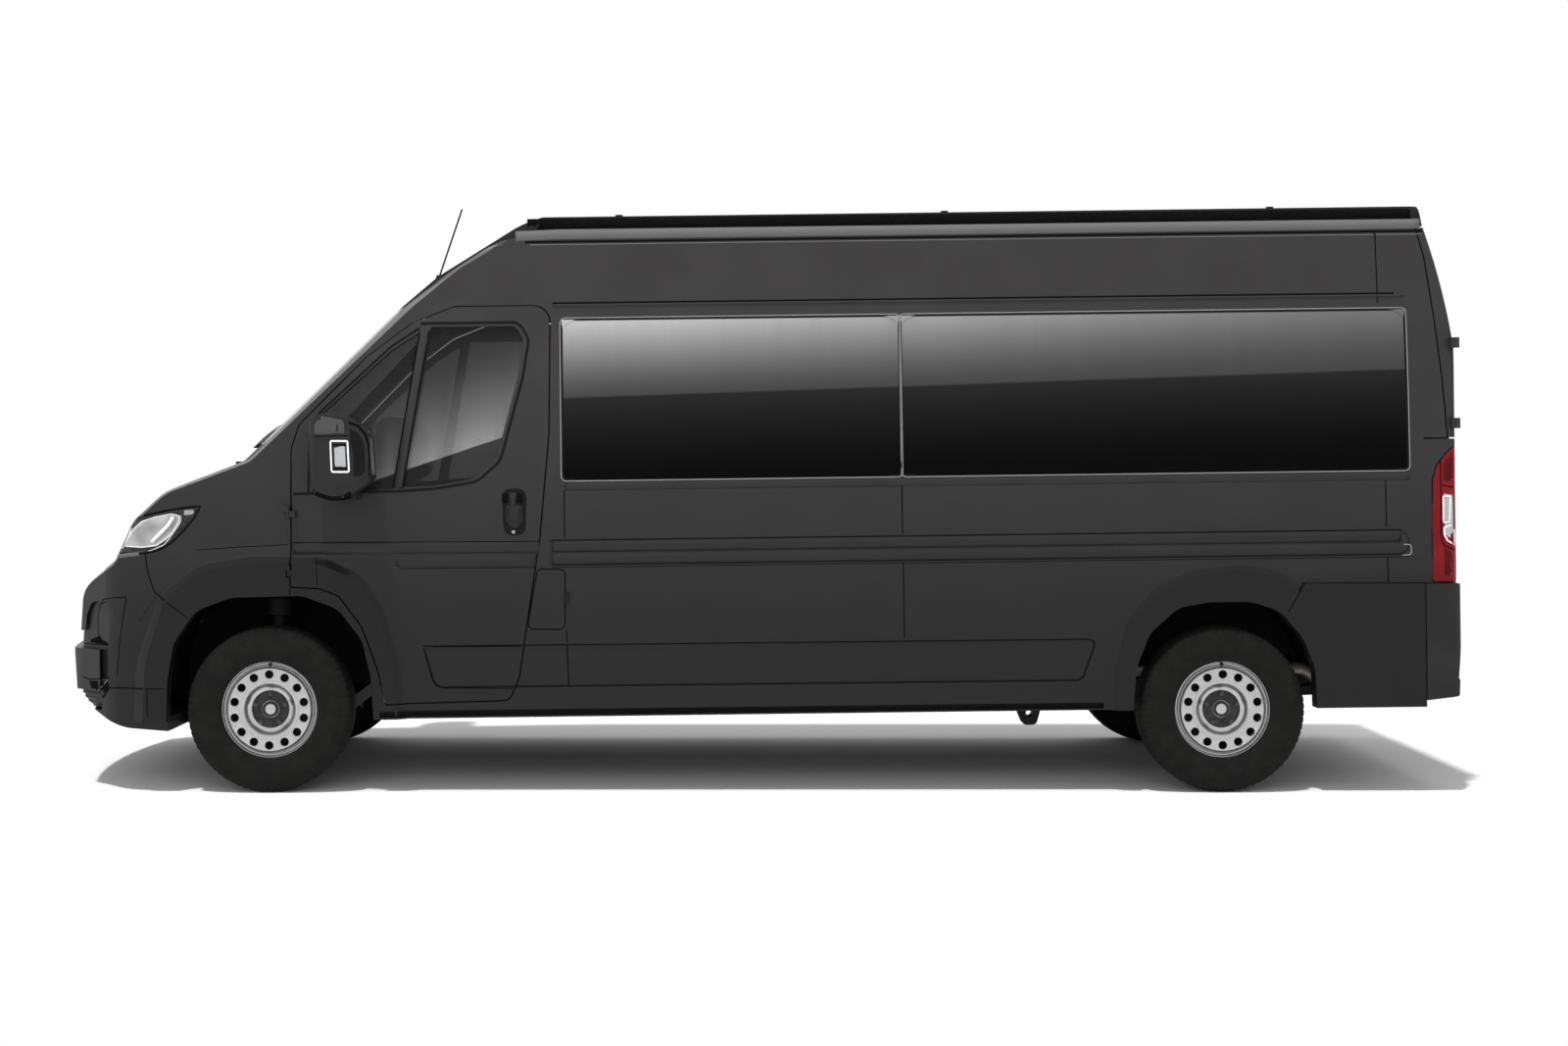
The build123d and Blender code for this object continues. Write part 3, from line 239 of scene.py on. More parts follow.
def cabGlass(wire):
    # clear glass with a painted reflection: a pale sky that grows stronger downwards and stops at a sloping horizon
    smear = noise(wire, 3.5, 3, 0.6)
    look = cabPaneReflection
    run = wire.make("ShaderNodeSeparateXYZ", None, {0: place(wire)}, 0)
    rise = height(wire) - (run * look["slope"] + look["horizon"])
    near = (1 - rise / look["reach"]).clamped()
    sky = near * near * look["bright"] * run.between(-1.9, -1.25) * rise.between(-0.002, 0.004)
    streak = noise(wire, 2.4, 2, 0.5, (4, 1, 0.3)).between(0.3, 0.6) * 0.35 + 0.65
    grey = sky * streak + look["dark"]
    tintAndReflection = wire.make("ShaderNodeCombineColor", None, {0: grey, 1: grey, 2: grey * 1.02})
    return surface(wire, colour=tintAndReflection, roughness=0.02 + smear.between(0.4, 0.9) * 0.05, specular=0.12,
                   alpha=0.58 + smear * 0.06)


def silverSteel(wire):
    flake = noise(wire, 900, 1)
    patchy = noise(wire, 22, 4, 0.6)
    dust = patchy.between(0.52, 0.8) * 0.35
    colour = flake.between(0.3, 0.7).blend(rgb(0.40, 0.40, 0.405), rgb(0.52, 0.52, 0.525))
    colour = dust.blend(colour, rgb(0.24, 0.23, 0.22))
    return surface(wire, colour=colour, roughness=0.27 + dust * 0.4 + flake * 0.04, metallic=0.9,
                   coat=0.3, coatRoughness=0.1, normal=bumped(wire, flake, 0.03))


def seatCloth(wire):
    weaveX, weaveY, weaveZ = [pattern(wire, axis, 190) for axis in "XYZ"]
    weave = weaveX * weaveY + weaveZ * 0.6
    worn = noise(wire, 5, 4, 0.6)
    colour = weave.between(0.1, 1.2).blend(rgb(0.040, 0.042, 0.048), rgb(0.085, 0.088, 0.098))
    colour = worn.between(0.5, 0.8).blend(colour, rgb(0.105, 0.106, 0.112))
    return surface(wire, colour=colour, roughness=0.85 + worn * 0.1, sheen=0.35, sheenRoughness=0.45,
                   specular=0.25, normal=bumped(wire, weave, 0.5))


# finishes in two clouded colours. cloud: the noise's scale, detail and roughness; span: the part of it over which
# one colour turns into the other; cover: how far rust, mud or facets cover, and roughen; roughness: base and
# change with the clouds, or with the noise in wear; skin: the pattern that raises the surface by raised
mottledLooks = {
    # painted shade: the paint above the gutter is darker and duller than the sides, for the roof's shade seen at a
    # grazing angle
    "roofPaint": {"cloud": (4, 3), "colours": ((0.012, 0.0115, 0.0115), (0.018, 0.017, 0.017)),
                  "roughness": (0.7, 0.12), "specular": 0.0, "skin": ("noise", 160, 1), "raised": 0.02},
    # painted highlight: a lighter copy of the body paint, for the light that the raised roof gutter catches from above
    "gutterPaint": {"cloud": (6, 3), "colours": ((0.105, 0.102, 0.103), (0.125, 0.122, 0.123)),
                    "roughness": (0.5, 0.1), "specular": 0.2},
    # painted highlight: a lighter copy of the body paint, for a face that leans up to the light
    "greyPaint": {"cloud": (5, 3), "colours": ((0.045, 0.043, 0.044), (0.062, 0.060, 0.061)),
                  "roughness": (0.45, 0.1), "specular": 0.2},
    "mouldedBlack": {"cloud": (14, 4), "span": (0.3, 0.8), "colours": ((0.010, 0.010, 0.0102), (0.016, 0.0156, 0.0156)),
                     "roughness": (0.52, 0.16), "specular": 0.25, "skin": ("grain", 520), "raised": 0.22},
    # the rear bumper: body colour moulded plastic with a fine grain
    "cladding": {"cloud": (8, 4), "span": (0.3, 0.8), "colours": ((0.013, 0.0125, 0.0126), (0.018, 0.0172, 0.0172)),
                 "roughness": (0.5, 0.12), "specular": 0.2, "skin": ("grain", 640), "raised": 0.12},
    "glossBlack": {"cloud": (6, 3), "span": (0.3, 0.8), "colours": ((0.004, 0.004, 0.004), (0.008, 0.008, 0.008)),
                   "roughness": (0.14, 0.08), "specular": 0.25},
    # dark joints, and painted shade laid in creases and gaps and along edges that turn away from the light
    "seamDark": {"cloud": (60, 2), "colours": ((0.002, 0.002, 0.002), (0.006, 0.006, 0.006)),
                 "roughness": (0.85, 0), "specular": 0.02},
    "rubber": {"cloud": (18, 4, 0.6), "span": (0.35, 0.75),
               "colours": ((0.0062, 0.0060, 0.0057), (0.0105, 0.0102, 0.0097)),
               "roughness": (0.66, 0.2), "specular": 0.12, "skin": ("noise", 700, 2), "raised": 0.18},
    "sealRubber": {"cloud": (30, 3), "colours": ((0.004, 0.004, 0.004), (0.008, 0.008, 0.008)),
                   "roughness": (0.6, 0.15), "specular": 0.1},
    "darkCast": {"cloud": (26, 5, 0.6), "span": (0.55, 0.78), "cover": 0.5,
                 "colours": ((0.010, 0.010, 0.0105), (0.035, 0.022, 0.016)), "roughness": (0.55, 0.35),
                 "metallic": 0.3, "specular": 0.15, "skin": ("noise", 240, 4, 0.65), "raised": 0.35},
    "chassisBlack": {"cloud": (7, 5, 0.65), "span": (0.5, 0.8), "cover": 0.4,
                     "colours": ((0.0030, 0.0030, 0.0030), (0.0120, 0.0105, 0.0090)), "roughness": (0.65, 0.3),
                     "specular": 0.06, "skin": ("noise", 120, 4, 0.6), "raised": 0.3},
    "pipeSteel": {"cloud": (12, 4, 0.6), "span": (0.35, 0.75), "colours": ((0.28, 0.26, 0.24), (0.16, 0.13, 0.11)),
                  "roughness": (0.38, 0.3), "metallic": 0.9, "skin": ("noise", 320, 3), "raised": 0.12},
    "chrome": {"cloud": (40, 2), "colours": ((0.80, 0.81, 0.82), (0.90, 0.90, 0.91)), "wear": (30, 3),
               "roughness": (0.06, 0.05), "metallic": 1.0},
    "mirrorFace": {"cloud": (12, 2), "colours": ((0.72, 0.74, 0.76), (0.80, 0.81, 0.82)), "wear": (20, 3),
                   "roughness": (0.02, 0.02), "metallic": 1.0},
    # alpha: its least, its change and the noise that it follows
    "clearLens": {"cloud": (9, 2), "colours": ((0.10, 0.10, 0.105), (0.16, 0.16, 0.165)), "wear": (24, 2),
                  "roughness": (0.02, 0.03), "specular": 0.8, "coat": 1.0, "coatRoughness": 0.01,
                  "alpha": (0.12, 0.05, 15, 2), "skin": ("X", 34), "raised": 0.03},
    "redLens": {"cloud": (7, 3), "span": (0.3, 0.7), "colours": ((0.120, 0.004, 0.006), (0.175, 0.008, 0.010)),
                "roughness": (0.12, 0.05), "specular": 0.12, "skin": ("Z", 38), "raised": 0.12},
    "redDeep": {"cloud": (9, 3), "span": (0.3, 0.7), "colours": ((0.048, 0.0015, 0.003), (0.090, 0.003, 0.006)),
                "roughness": (0.14, 0.05), "specular": 0.12, "skin": ("Z", 30), "raised": 0.1},
    "amberLens": {"cloud": (20, 2), "colours": ((0.60, 0.21, 0.020), (0.72, 0.28, 0.03)), "wear": (30, 2),
                  "roughness": (0.12, 0.05), "coat": 1.0, "skin": ("Z", 60), "raised": 0.12},
    "whiteLens": {"cloud": (18, 2), "colours": ((0.26, 0.27, 0.275), (0.38, 0.39, 0.395)), "wear": (30, 2),
                  "roughness": (0.12, 0.05), "coat": 0.4, "coatRoughness": 0.02, "skin": ("Z", 46), "raised": 0.15},
    # the faceted bright bowl inside a lamp
    "reflector": {"cloud": (7, 3, 0.5), "span": (0.3, 0.7), "cover": 1.0,
                  "colours": ((0.30, 0.30, 0.30), (0.62, 0.62, 0.62)), "roughness": (0.26, 0.1), "metallic": 0.75,
                  "skin": ("grain", 55), "raised": 0.25},
    "lampWhite": {"cloud": (30, 3), "colours": ((0.78, 0.78, 0.78), (0.9, 0.9, 0.9)), "roughness": (0.25, 0.1)},
    "trimGrey": {"cloud": (9, 4), "colours": ((0.055, 0.056, 0.060), (0.080, 0.081, 0.085)),
                 "roughness": (0.6, 0.15), "skin": ("grain", 420), "raised": 0.2},
    "beltWeb": {"cloud": (14, 3), "colours": ((0.012, 0.012, 0.013), (0.028, 0.028, 0.030)),
                "roughness": (0.7, 0.15), "specular": 0.2, "skin": ("Z", 260), "raised": 0.3},
    "floorMat": {"cloud": (260, 4, 0.7), "colours": ((0.030, 0.030, 0.032), (0.060, 0.060, 0.064)),
                 "roughness": (0.85, 0.1), "specular": 0.2, "skin": ("noise", 260, 4, 0.7), "raised": 0.5},
    "plateBlank": {"cloud": (60, 3), "colours": ((0.62, 0.62, 0.60), (0.70, 0.70, 0.68)),
                   "roughness": (0.35, 0.1), "coat": 0.4, "skin": ("noise", 60, 3), "raised": 0.05},
    # painted highlight: bright lines on lips and edges that catch the light
    "brightLip": {"cloud": (40, 3), "colours": ((0.20, 0.20, 0.20), (0.30, 0.30, 0.30)),
                  "roughness": (0.3, 0.15), "metallic": 0.4},
    "hubDark": {"cloud": (30, 4, 0.6), "span": (0.35, 0.75), "colours": ((0.008, 0.008, 0.008), (0.030, 0.028, 0.026)),
                "roughness": (0.32, 0.3), "metallic": 0.4, "skin": ("noise", 260, 3), "raised": 0.15},
    "boltDark": {"cloud": (60, 3), "colours": ((0.03, 0.03, 0.03), (0.09, 0.088, 0.085)),
                 "roughness": (0.28, 0.2), "metallic": 0.85}}


def mottled(wire, look):
    cloud = noise(wire, *look["cloud"])
    mask = cloud.between(*look["span"]) if "span" in look else cloud
    if "cover" in look:
        cloud = mask = mask * look["cover"]
    wear = noise(wire, *look["wear"]) if "wear" in look else cloud
    base, change = look["roughness"]
    sockets = {name: look[name] for name in ("specular", "metallic", "coat", "coatRoughness") if name in look}
    if "alpha" in look:
        least, rise, scale, detail = look["alpha"]
        sockets["alpha"] = least + noise(wire, scale, detail) * rise
    if "skin" in look:
        sockets["normal"] = bumped(wire, pattern(wire, *look["skin"]), look["raised"])
    first, second = look["colours"]
    return surface(wire, colour=mask.blend(rgb(*first), rgb(*second)),
                   roughness=base + wear * change if change else base, **sockets)


for build in (bodyPaint, sideGlass, cabGlass, silverSteel, seatCloth):
    finish(build.__name__, build)
for name, look in mottledLooks.items():
    finish(name, lambda wire, look=look: mottled(wire, look))
print("finishes made:", len(finishes))

# which finish each node of the frame wears
nodeFinish = {
    "floor": "floorMat", "side_wall_left": "bodyPaint", "side_wall_right": "bodyPaint",
    "sliding_door": "bodyPaint", "roof": "roofPaint", "windscreen": "cabGlass", "side_glass": "sideGlass",
    "front_fenders": "bodyPaint", "headlamps": "clearLens", "front_bumper": "bodyPaint",
    "cowl": "mouldedBlack", "rear_bumper": "cladding", "tail_lamps": "redLens",
    "wheel_housings": "chassisBlack", "bulkhead": "trimGrey", "dashboard": "trimGrey",
    "steering_wheel": "mouldedBlack", "grille": "mouldedBlack", "seat_frames": "trimGrey", "seat_cushions": "seatCloth",
    "seat_backs": "seatCloth", "underframe": "chassisBlack", "rear_axle": "darkCast",
    "fuel_tank": "chassisBlack", "exhaust": "pipeSteel", "spare_wheel": "rubber",
    "engine_block": "darkCast", "antenna": "mouldedBlack", "wipers": "mouldedBlack",
    "bonnet": "bodyPaint", "fuel_flap": "bodyPaint"}
for side in ("left", "right"):
    nodeFinish.update({
        "cab_door_" + side: "bodyPaint", "cab_glass_" + side: "cabGlass", "mirror_" + side: "mouldedBlack",
        "rear_door_" + side: "bodyPaint", "rear_glass_" + side: "sideGlass", "knuckle_" + side: "darkCast"})
    for end in ("front", "rear"):
        nodeFinish["rim_" + end + "_" + side] = "silverSteel"
        nodeFinish["tyre_" + end + "_" + side] = "rubber"
for name, node in nodes.items():
    material = finishes[nodeFinish[name]]
    if not node.material_slots:
        node.data.materials.append(material)
    for held in node.material_slots:
        held.material = material
print("frame nodes finished")

# the record's slot for each finish; the table is made here, but no piece is given its slot from it
slotFinishes = {
    "paint": ("bodyPaint", "roofPaint", "gutterPaint", "greyPaint", "brightLip"),
    "black_plastic": ("mouldedBlack", "cladding", "glossBlack", "seamDark", "sealRubber", "plateBlank"),
    "glass_dark": ("sideGlass",), "glass_clear": ("cabGlass",), "tyre": ("rubber",), "rim": ("silverSteel",),
    "cast": ("darkCast", "hubDark"), "chassis": ("chassisBlack",), "steel": ("pipeSteel", "chrome", "boltDark"),
    "mirror_shell": ("mirrorFace",), "lamp": ("clearLens", "reflector", "lampWhite", "whiteLens"),
    "lamp_red": ("redLens", "redDeep", "amberLens"), "interior_plastic": ("trimGrey", "floorMat"),
    "fabric": ("seatCloth", "beltWeb")}
slotOf = {worn: slot for slot, group in slotFinishes.items() for worn in group}


# helpers for pieces that lie on the body
def searchTree(names):
    points, faces = [], []
    for name in names:
        mesh = nodes[name].data
        first = len(points)
        points += [vertex.co.copy() for vertex in mesh.vertices]
        faces += [[first + corner for corner in polygon.vertices] for polygon in mesh.polygons]
    return BVHTree.FromPolygons(points, faces)


sideNodes = {"left": -1, "right": 1}
skins = {}
for side in sideNodes:
    fixed = ["side_wall_" + side, "side_glass", "front_fenders", "front_bumper", "rear_bumper", "roof",
             "tail_lamps", "headlamps", "cowl", "cab_door_" + side, "fuel_flap", "rear_door_" + side]
    skins[side] = searchTree(fixed + (["sliding_door"] if side == "right" else []))

def sideSpot(side, u, h):
    # the outermost point of the skin at a place in the side view, bridging the door gaps
    sign = sideNodes[side]
    best = None
    for shift in (0, -9, 9):
        start = at(u + shift, sign * 1600, h)
        spot, normal = skins[side].ray_cast(start, Vector((0, -sign, 0)))[:2]
        if spot and (best is None or (abs(spot.y) > abs(best[0].y) + 0.004)):
            best = (Vector((start.x - along.x * shift / 1000, spot.y, start.z - along.z * shift / 1000)), normal)
    return best


def roundedLine(points, radius=0, step=25, closed=False):
    # a polyline with rounded corners, cut into short steps
    count = len(points)
    corners = []
    for i, here in enumerate(points):
        here = Vector(here[:2])
        bend = points[i][2] if len(points[i]) > 2 else radius
        if (not closed and i in (0, count - 1)) or bend <= 0:
            corners.append(here)
            continue
        before, after = Vector(points[i - 1][:2]), Vector(points[(i + 1) % count][:2])
        a, b = (before - here), (after - here)
        angle = a.angle(b)
        cut = min(bend / math.tan(angle / 2), a.length * 0.48, b.length * 0.48)
        for k in range(7):
            t = k / 6
            p, q = here + a.normalized() * cut, here + b.normalized() * cut
            corners.append((1 - t) ** 2 * p + 2 * t * (1 - t) * here + t * t * q)
    line = []
    pairs = list(zip(corners, corners[1:] + ([corners[0]] if closed else [])))
    for a, b in pairs[:len(corners) if closed else len(corners) - 1]:
        parts = max(1, int((b - a).length / step))
        line += [a.lerp(b, k / parts) for k in range(parts)]
    if not closed:
        line.append(corners[-1])
    return line


def netFaces(rows, ring, closedRows=False, closedRing=True):
    # quads between neighbouring rows of a net of points
    faces = []
    for i in range(rows if closedRows else rows - 1):
        for k in range(ring if closedRing else ring - 1):
            m, j = (k + 1) % ring, (i + 1) % rows
            faces.append((i * ring + k, i * ring + m, j * ring + m, j * ring + k))
    return faces


def meshPiece(name, points, faces, material, body="root", smooth=True):
    mesh = bpy.data.meshes.new(name)
    mesh.from_pydata([tuple(point) for point in points], [], faces)
    mesh.update()
    piece = bpy.data.objects.new(name, mesh)
    bpy.context.scene.collection.objects.link(piece)
    mesh.materials.append(finishes[material])
    tidy = bmesh.new()
    tidy.from_mesh(mesh)
    bmesh.ops.recalc_face_normals(tidy, faces=tidy.faces)
    for face in tidy.faces:
        face.smooth = smooth
    tidy.to_mesh(mesh)
    tidy.free()
    if smooth:
        for edge in mesh.edges:
            edge.use_edge_sharp = False
    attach(piece, body)
    return piece


def sweepSection(spots, normals, section, closed=False):
    # a section of (across, out) millimetres carried along points on a surface
    points = []
    count, ring = len(spots), len(section)
    for i in range(count):
        before = spots[i - 1] if (i or closed) else spots[i]
        after = spots[(i + 1) % count] if (i < count - 1 or closed) else spots[i]
        run = (after - before).normalized()
        normal = (normals[i] - run * normals[i].dot(run)).normalized()
        across = run.cross(normal)
        points += [spots[i] + across * (a / 1000) + normal * (b / 1000) for a, b in section]
    faces = netFaces(count, ring, closed)
    if not closed:
        faces += [tuple(range(ring))[::-1], tuple((count - 1) * ring + k for k in range(ring))]
    return points, faces


def gathered(parts):
    points, faces = [], []
    for newPoints, newFaces in parts:
        faces += [tuple(corner + len(points) for corner in face) for face in newFaces]
        points += newPoints
    return points, faces


def halfRound(width, proud, sink=1.0, parts=6):
    half = width / 2
    arc = [(half * math.cos(math.pi * k / parts), proud * math.sin(math.pi * k / parts)) for k in range(parts + 1)]
    return [(half, -sink)] + arc + [(-half, -sink)]


def flatBar(width, proud, sink=1.0):
    half = width / 2
    return [(half, -sink), (half, proud), (-half, proud), (-half, -sink)]


def sideLine(side, path, section, closed=False, step=25, radius=0):
    # points and faces of a strip along a side-view path; the section's first axis points up
    sign = sideNodes[side]
    line = roundedLine(path, radius, step, closed)
    hits = [hit for hit in (sideSpot(side, *spot) for spot in line) if hit]
    depth = [abs(spot.y) for spot, normal in hits]
    calm = []
    for i in range(len(depth)):
        near = sorted(depth[max(0, i - 2):i + 3])
        calm.append(near[len(near) // 2])
    spots = [Vector((spot.x, sign * deep, spot.z)) for (spot, normal), deep in zip(hits, calm)]
    out = Vector((0, sign, 0))
    normals = [normal if normal.dot(out) > 0.6 else out for spot, normal in hits]
    normals = [sum((normals[max(0, i - 1):i + 2]), Vector()).normalized() for i in range(len(normals))]
    if sign > 0:
        section = [(-a, b) for a, b in section]
    return sweepSection(spots, normals, section, closed)


def sideStrips(name, side, paths, section, material, body="root", **more):
    parts = [sideLine(side, path, section, **more) for path in paths]
    return meshPiece(name, *gathered(parts), material, body)


# pieces laid on chosen nodes; a place is given by the two coordinates seen from that side
lookFrom = {"left": (lambda a, b: at(a, -1700, b), Vector((0, 1, 0))),
            "right": (lambda a, b: at(a, 1700, b), Vector((0, -1, 0))),
            "front": (lambda a, b: at(-1700, a, b), along), "rear": (lambda a, b: at(6000, a, b), -along),
            "above": (lambda a, b: at(a, b, 3200), -upward)}


def caster(direction, names):
    start, run = lookFrom[direction]
    tree = searchTree(names)

    def cast(a, b):
        spot, normal = tree.ray_cast(start(a, b), run)[:2]
        return (spot, normal if normal.dot(run) < 0 else -normal) if spot else None
    return cast


def laid(name, cast, paths, section, material, body="root", closed=False, step=15, radius=0):
    # strips along paths; each keeps only the places that lie on the nodes
    parts = []
    for path in paths:
        hits = [hit for hit in (cast(*spot) for spot in roundedLine(path, radius, step, closed)) if hit]
        if len(hits) > 1:
            parts.append(sweepSection([hit[0] for hit in hits], [hit[1] for hit in hits], section, closed))
    return meshPiece(name, *gathered(parts), material, body)


def patch(name, cast, outline, lift, material, body="root", rings=6, step=14, radius=0, hub=None):
    # a skin over an outline; lift gives its height in mm by the share of the way from the edge to the middle
    line = roundedLine(outline, radius, step, True)
    hub = Vector(hub) if hub else sum(line, Vector((0, 0))) / len(line)
    held = [cast(*hub)] * len(line)
    rows = []
    for r in range(rings, -1, -1):
        share = r / rings
        for k, spot in enumerate(line):
            held[k] = cast(*(hub + (spot - hub) * (1 - share * 0.999))) or held[k]
        rows.insert(0, [hit[0] + hit[1] * (lift(share) / 1000) for hit in held])
    count = len(line)
    faces = netFaces(rings + 1, count)
    faces.append(tuple(rings * count + k for k in range(count)))
    return meshPiece(name, [spot for row in rows for spot in row], faces, material, body)


def flush(height, sink=1.0):
    return lambda share: -sink if share == 0 else height


def bowl(depth, deeper):
    return lambda share: -depth - deeper * math.sin(share * math.pi / 2)


def raisedBar(width, low, high):
    half = width / 2
    return [(half, low), (half, high), (-half, high), (-half, low)]


# trim along the sides
sideTrim = {"windowFront": 1254, "windowRear": 4833, "windowLow": 1308, "windowHigh": 1986, "split": 2690,
            "splitHalf": 4, "corner": 18, "lipGap": 7, "cornerReach": 66, "cornerParts": 8, "paneProud": 1.4,
            "bandEnd": [(4805, 990, 10), (4838, 988, 14), (4836, 946, 14), (4800, 944, 10)],
            "gapSeal": {"along": (980, 1290), "across": (868, 872), "up": (312, 560)}}


def wedge(width, proud):
    # flat at the top edge, standing out at the lower edge so that it catches the light from above
    half = width / 2
    return [(half, -1), (half, 0.4), (-half + 3, proud), (-half, proud * 0.6), (-half, -1)]


# each row: paths in the side view, some on one side only, their section and finish; onDoor rows ride the cab door,
# and the onWall row is cast on the side wall alone
upperRows = {
    "dripMoulding": {"paths": [[(1216, 2048), (4832, 2046)]], "section": halfRound(11, 6), "finish": "bodyPaint"},
    "roofSeams": {"paths": [[(1216, 2056), (4790, 2054)], [(1100, 2320), (4925, 2321)]],
                  "section": flatBar(10, 0.6), "finish": "seamDark"},
    # painted highlight: a light line and a lighter band along the raised roof gutter
    "gutterLine": {"paths": [[(1120, 2308), (4925, 2307)]], "section": halfRound(4, 1.5), "finish": "gutterPaint"},
    "gutterMoulding": {"paths": [[(1060, 2346), (1240, 2352, 500), (4915, 2352)]], "section": wedge(42, 5),
                       "finish": "gutterPaint", "radius": 80},
    # painted highlight: a lighter strip down the edge of the windscreen pillar
    "pillarStrip": {"paths": [[(-90, 1478), (200, 1748), (480, 1998), (640, 2108), (900, 2272), (1010, 2318)]],
                    "section": wedge(20, 2), "finish": "greyPaint", "radius": 120, "onWall": True},
    # painted shade: a dark strip along the roof's rounded edge, where it turns away from the light
    "roofEdge": {"paths": [[(1110, 2396), (1210, 2400, 300), (4880, 2397)]], "section": wedge(50, 4),
                 "finish": "seamDark", "radius": 80},
    "windowLedge": {"paths": [[(1262, 1278), (4838, 1278)]], "section": wedge(33, 7), "finish": "bodyPaint"},
    # pressed band: two faces that lean up, with thin dark edges that are painted shade in its creases, and a rounded
    # rear end
    "band_upper": {"paths": [[(1203, 1025), (4798, 1025)]], "section": wedge(50, 4.5), "finish": "bodyPaint"},
    "band_lower": {"paths": [[(1203, 968), (4832, 968)]], "section": wedge(54, 4.5), "finish": "bodyPaint"},
    "bandEdges": {"paths": [[(1203, 1053), (4800, 1053)], [(1203, 938), (4830, 938)]], "section": flatBar(3, 0.5),
                  "finish": "seamDark"}}
lowerRows = {
    # dark lines at the panel joints; the closed loop round the lower embossed panel is painted shade in its crease
    "panelJoints": {
        "paths": [[(4722, 2325), (4722, 1994)], [(4735, 1262), (4735, 1056)], [(4735, 938), (4738, 832)],
                  [(2688, 1262), (2688, 1056)], [(2688, 938), (2690, 625)],
                  [(4309, 712), (4379, 831)], [(4379, 831), (5026, 825)], [(4889, 823), (4889, 335)],
                  [(-517, 1018), (-509, 948), (-481, 856), (-336, 746)], [(98, 862), (98, 834)],
                  [(654, 612, 6), (3504, 606, 30), (3440, 432, 40), (705, 436, 50), (654, 612)],
                  [(-690, 448), (-440, 448)]],
        "left": [[(1258, 1262), (1258, 1056)], [(1262, 674), (1268, 440)], [(1262, 936), (1258, 938)]],
        "right": [[(1262, 676), (1262, 440)]], "section": flatBar(5, 0.5), "finish": "seamDark"},
    # the band carried over the cab door, and the lower panel line
    "doorBandUpper": {"paths": [[(108, 1030), (1150, 1022)]], "section": wedge(48, 3.5), "finish": "bodyPaint",
                      "onDoor": True},
    "doorBandLower": {"paths": [[(545, 970), (1135, 966)]], "section": wedge(46, 4), "finish": "bodyPaint",
                      "onDoor": True},
    # painted shade: thin dark lines in the door's creases, along the band and round the lower embossed panel
    "doorEdges": {"paths": [[(108, 1056), (1152, 1048)], [(560, 941), (1130, 939)], [(700, 608), (1066, 606)],
                            [(655, 610, 20), (700, 434, 60), (1030, 428)], [(210, 996), (214, 878)]],
                  "section": flatBar(3.5, 0.5), "finish": "seamDark", "onDoor": True},
    # painted shade: a thin dark line in the band's crease on the fender
    "fenderEdges": {"paths": [[(-300, 1030, 100), (-120, 1040, 100), (88, 1048)]], "section": flatBar(3.5, 0.5),
                    "finish": "seamDark"},
    # seals of the cab windows, and the post between them
    "beltSeal": {"paths": [[(112, 1262, 20), (560, 1268, 60), (715, 1277, 80), (890, 1304, 100), (990, 1392, 90),
                            (1088, 1745, 300), (1114, 1905, 60), (1075, 1978, 60), (655, 1978, 60)]],
                 "section": halfRound(11, 3), "finish": "sealRubber", "radius": 30, "onDoor": True},
    "quarterSeal": {"paths": [[(175, 1264, 20), (183, 1500, 60), (222, 1602, 60), (530, 1881, 60), (650, 1958)]],
                    "section": halfRound(9, 2.5), "finish": "sealRubber", "radius": 30, "onDoor": True},
    "windowPost": {"paths": [[(554, 1280), (672, 1944)]], "section": flatBar(38, 1.2), "finish": "bodyPaint",
                   "onDoor": True},
    "postEdges": {"paths": [[(534, 1280), (652, 1944)], [(574, 1280), (692, 1944)]], "section": flatBar(6, 1.4),
                  "finish": "seamDark", "onDoor": True},
    # painted shade: the black lower edge of the sill, where the side turns under away from the light
    "sillEdge": {"paths": [[(470, 326), (3530, 324)]], "section": flatBar(26, 0.8), "finish": "seamDark"}}


def paneCorners(name, side, first, last):
    # the pane runs on under its frame, so the corners are filled to the seal
    look = sideTrim
    sign = sideNodes[side]
    points, faces = [], []
    low, high, reach, parts = look["windowLow"], look["windowHigh"], look["cornerReach"], look["cornerParts"]
    for u, h, du, dh in ((first, low, 1, 1), (last, low, -1, 1), (last, high, -1, -1), (first, high, 1, -1)):
        middle = sideSpot(side, u + du * 30, h + dh * 30)[0]
        flat = at(0, sign * 1000 * abs(middle.y) + sign * look["paneProud"], 0).y
        start = len(points)
        for k in range(parts + 1):
            turn = math.pi / 2 * k / parts
            edge = (u + du * reach * max(0, 1 - k / 4), h + dh * reach * max(0, k / 4 - 1))
            curve = (u + du * (reach - reach * math.sin(turn)), h + dh * (reach - reach * math.cos(turn)))
            for spot in (edge, curve):
                point = at(spot[0], 0, spot[1])
                points.append((point.x, flat, point.z))
        faces += [tuple(start + 2 * k + corner for corner in (0, 1, 3, 2)) for k in range(parts)]
    meshPiece(name, points, faces, "sideGlass", smooth=False)


def paneFrames(side):
    # seals round the side panes, and bright lips beside them that are painted highlights
    look = sideTrim
    half, corner, gap = look["splitHalf"], look["corner"], look["lipGap"]
    for name, first, last in (("front", look["windowFront"], look["split"] - half),
                              ("rear", look["split"] + half, look["windowRear"])):
        for piece, grow, section, material in (("paneSeal_", 0, halfRound(9, 2.2), "sealRubber"),
                                               ("paneLip_", gap, halfRound(5, 2.6), "brightLip")):
            low, high = look["windowLow"] - grow, look["windowHigh"] + grow
            loop = [(u, h, corner + grow) for u, h in ((first - grow, low), (last + grow, low), (last + grow, high),
                                                       (first - grow, high))]
            sideStrips(piece + name + "_" + side, side, [loop], section, material, closed=True)
        paneCorners("paneCorners_" + name + "_" + side, side, first, last)


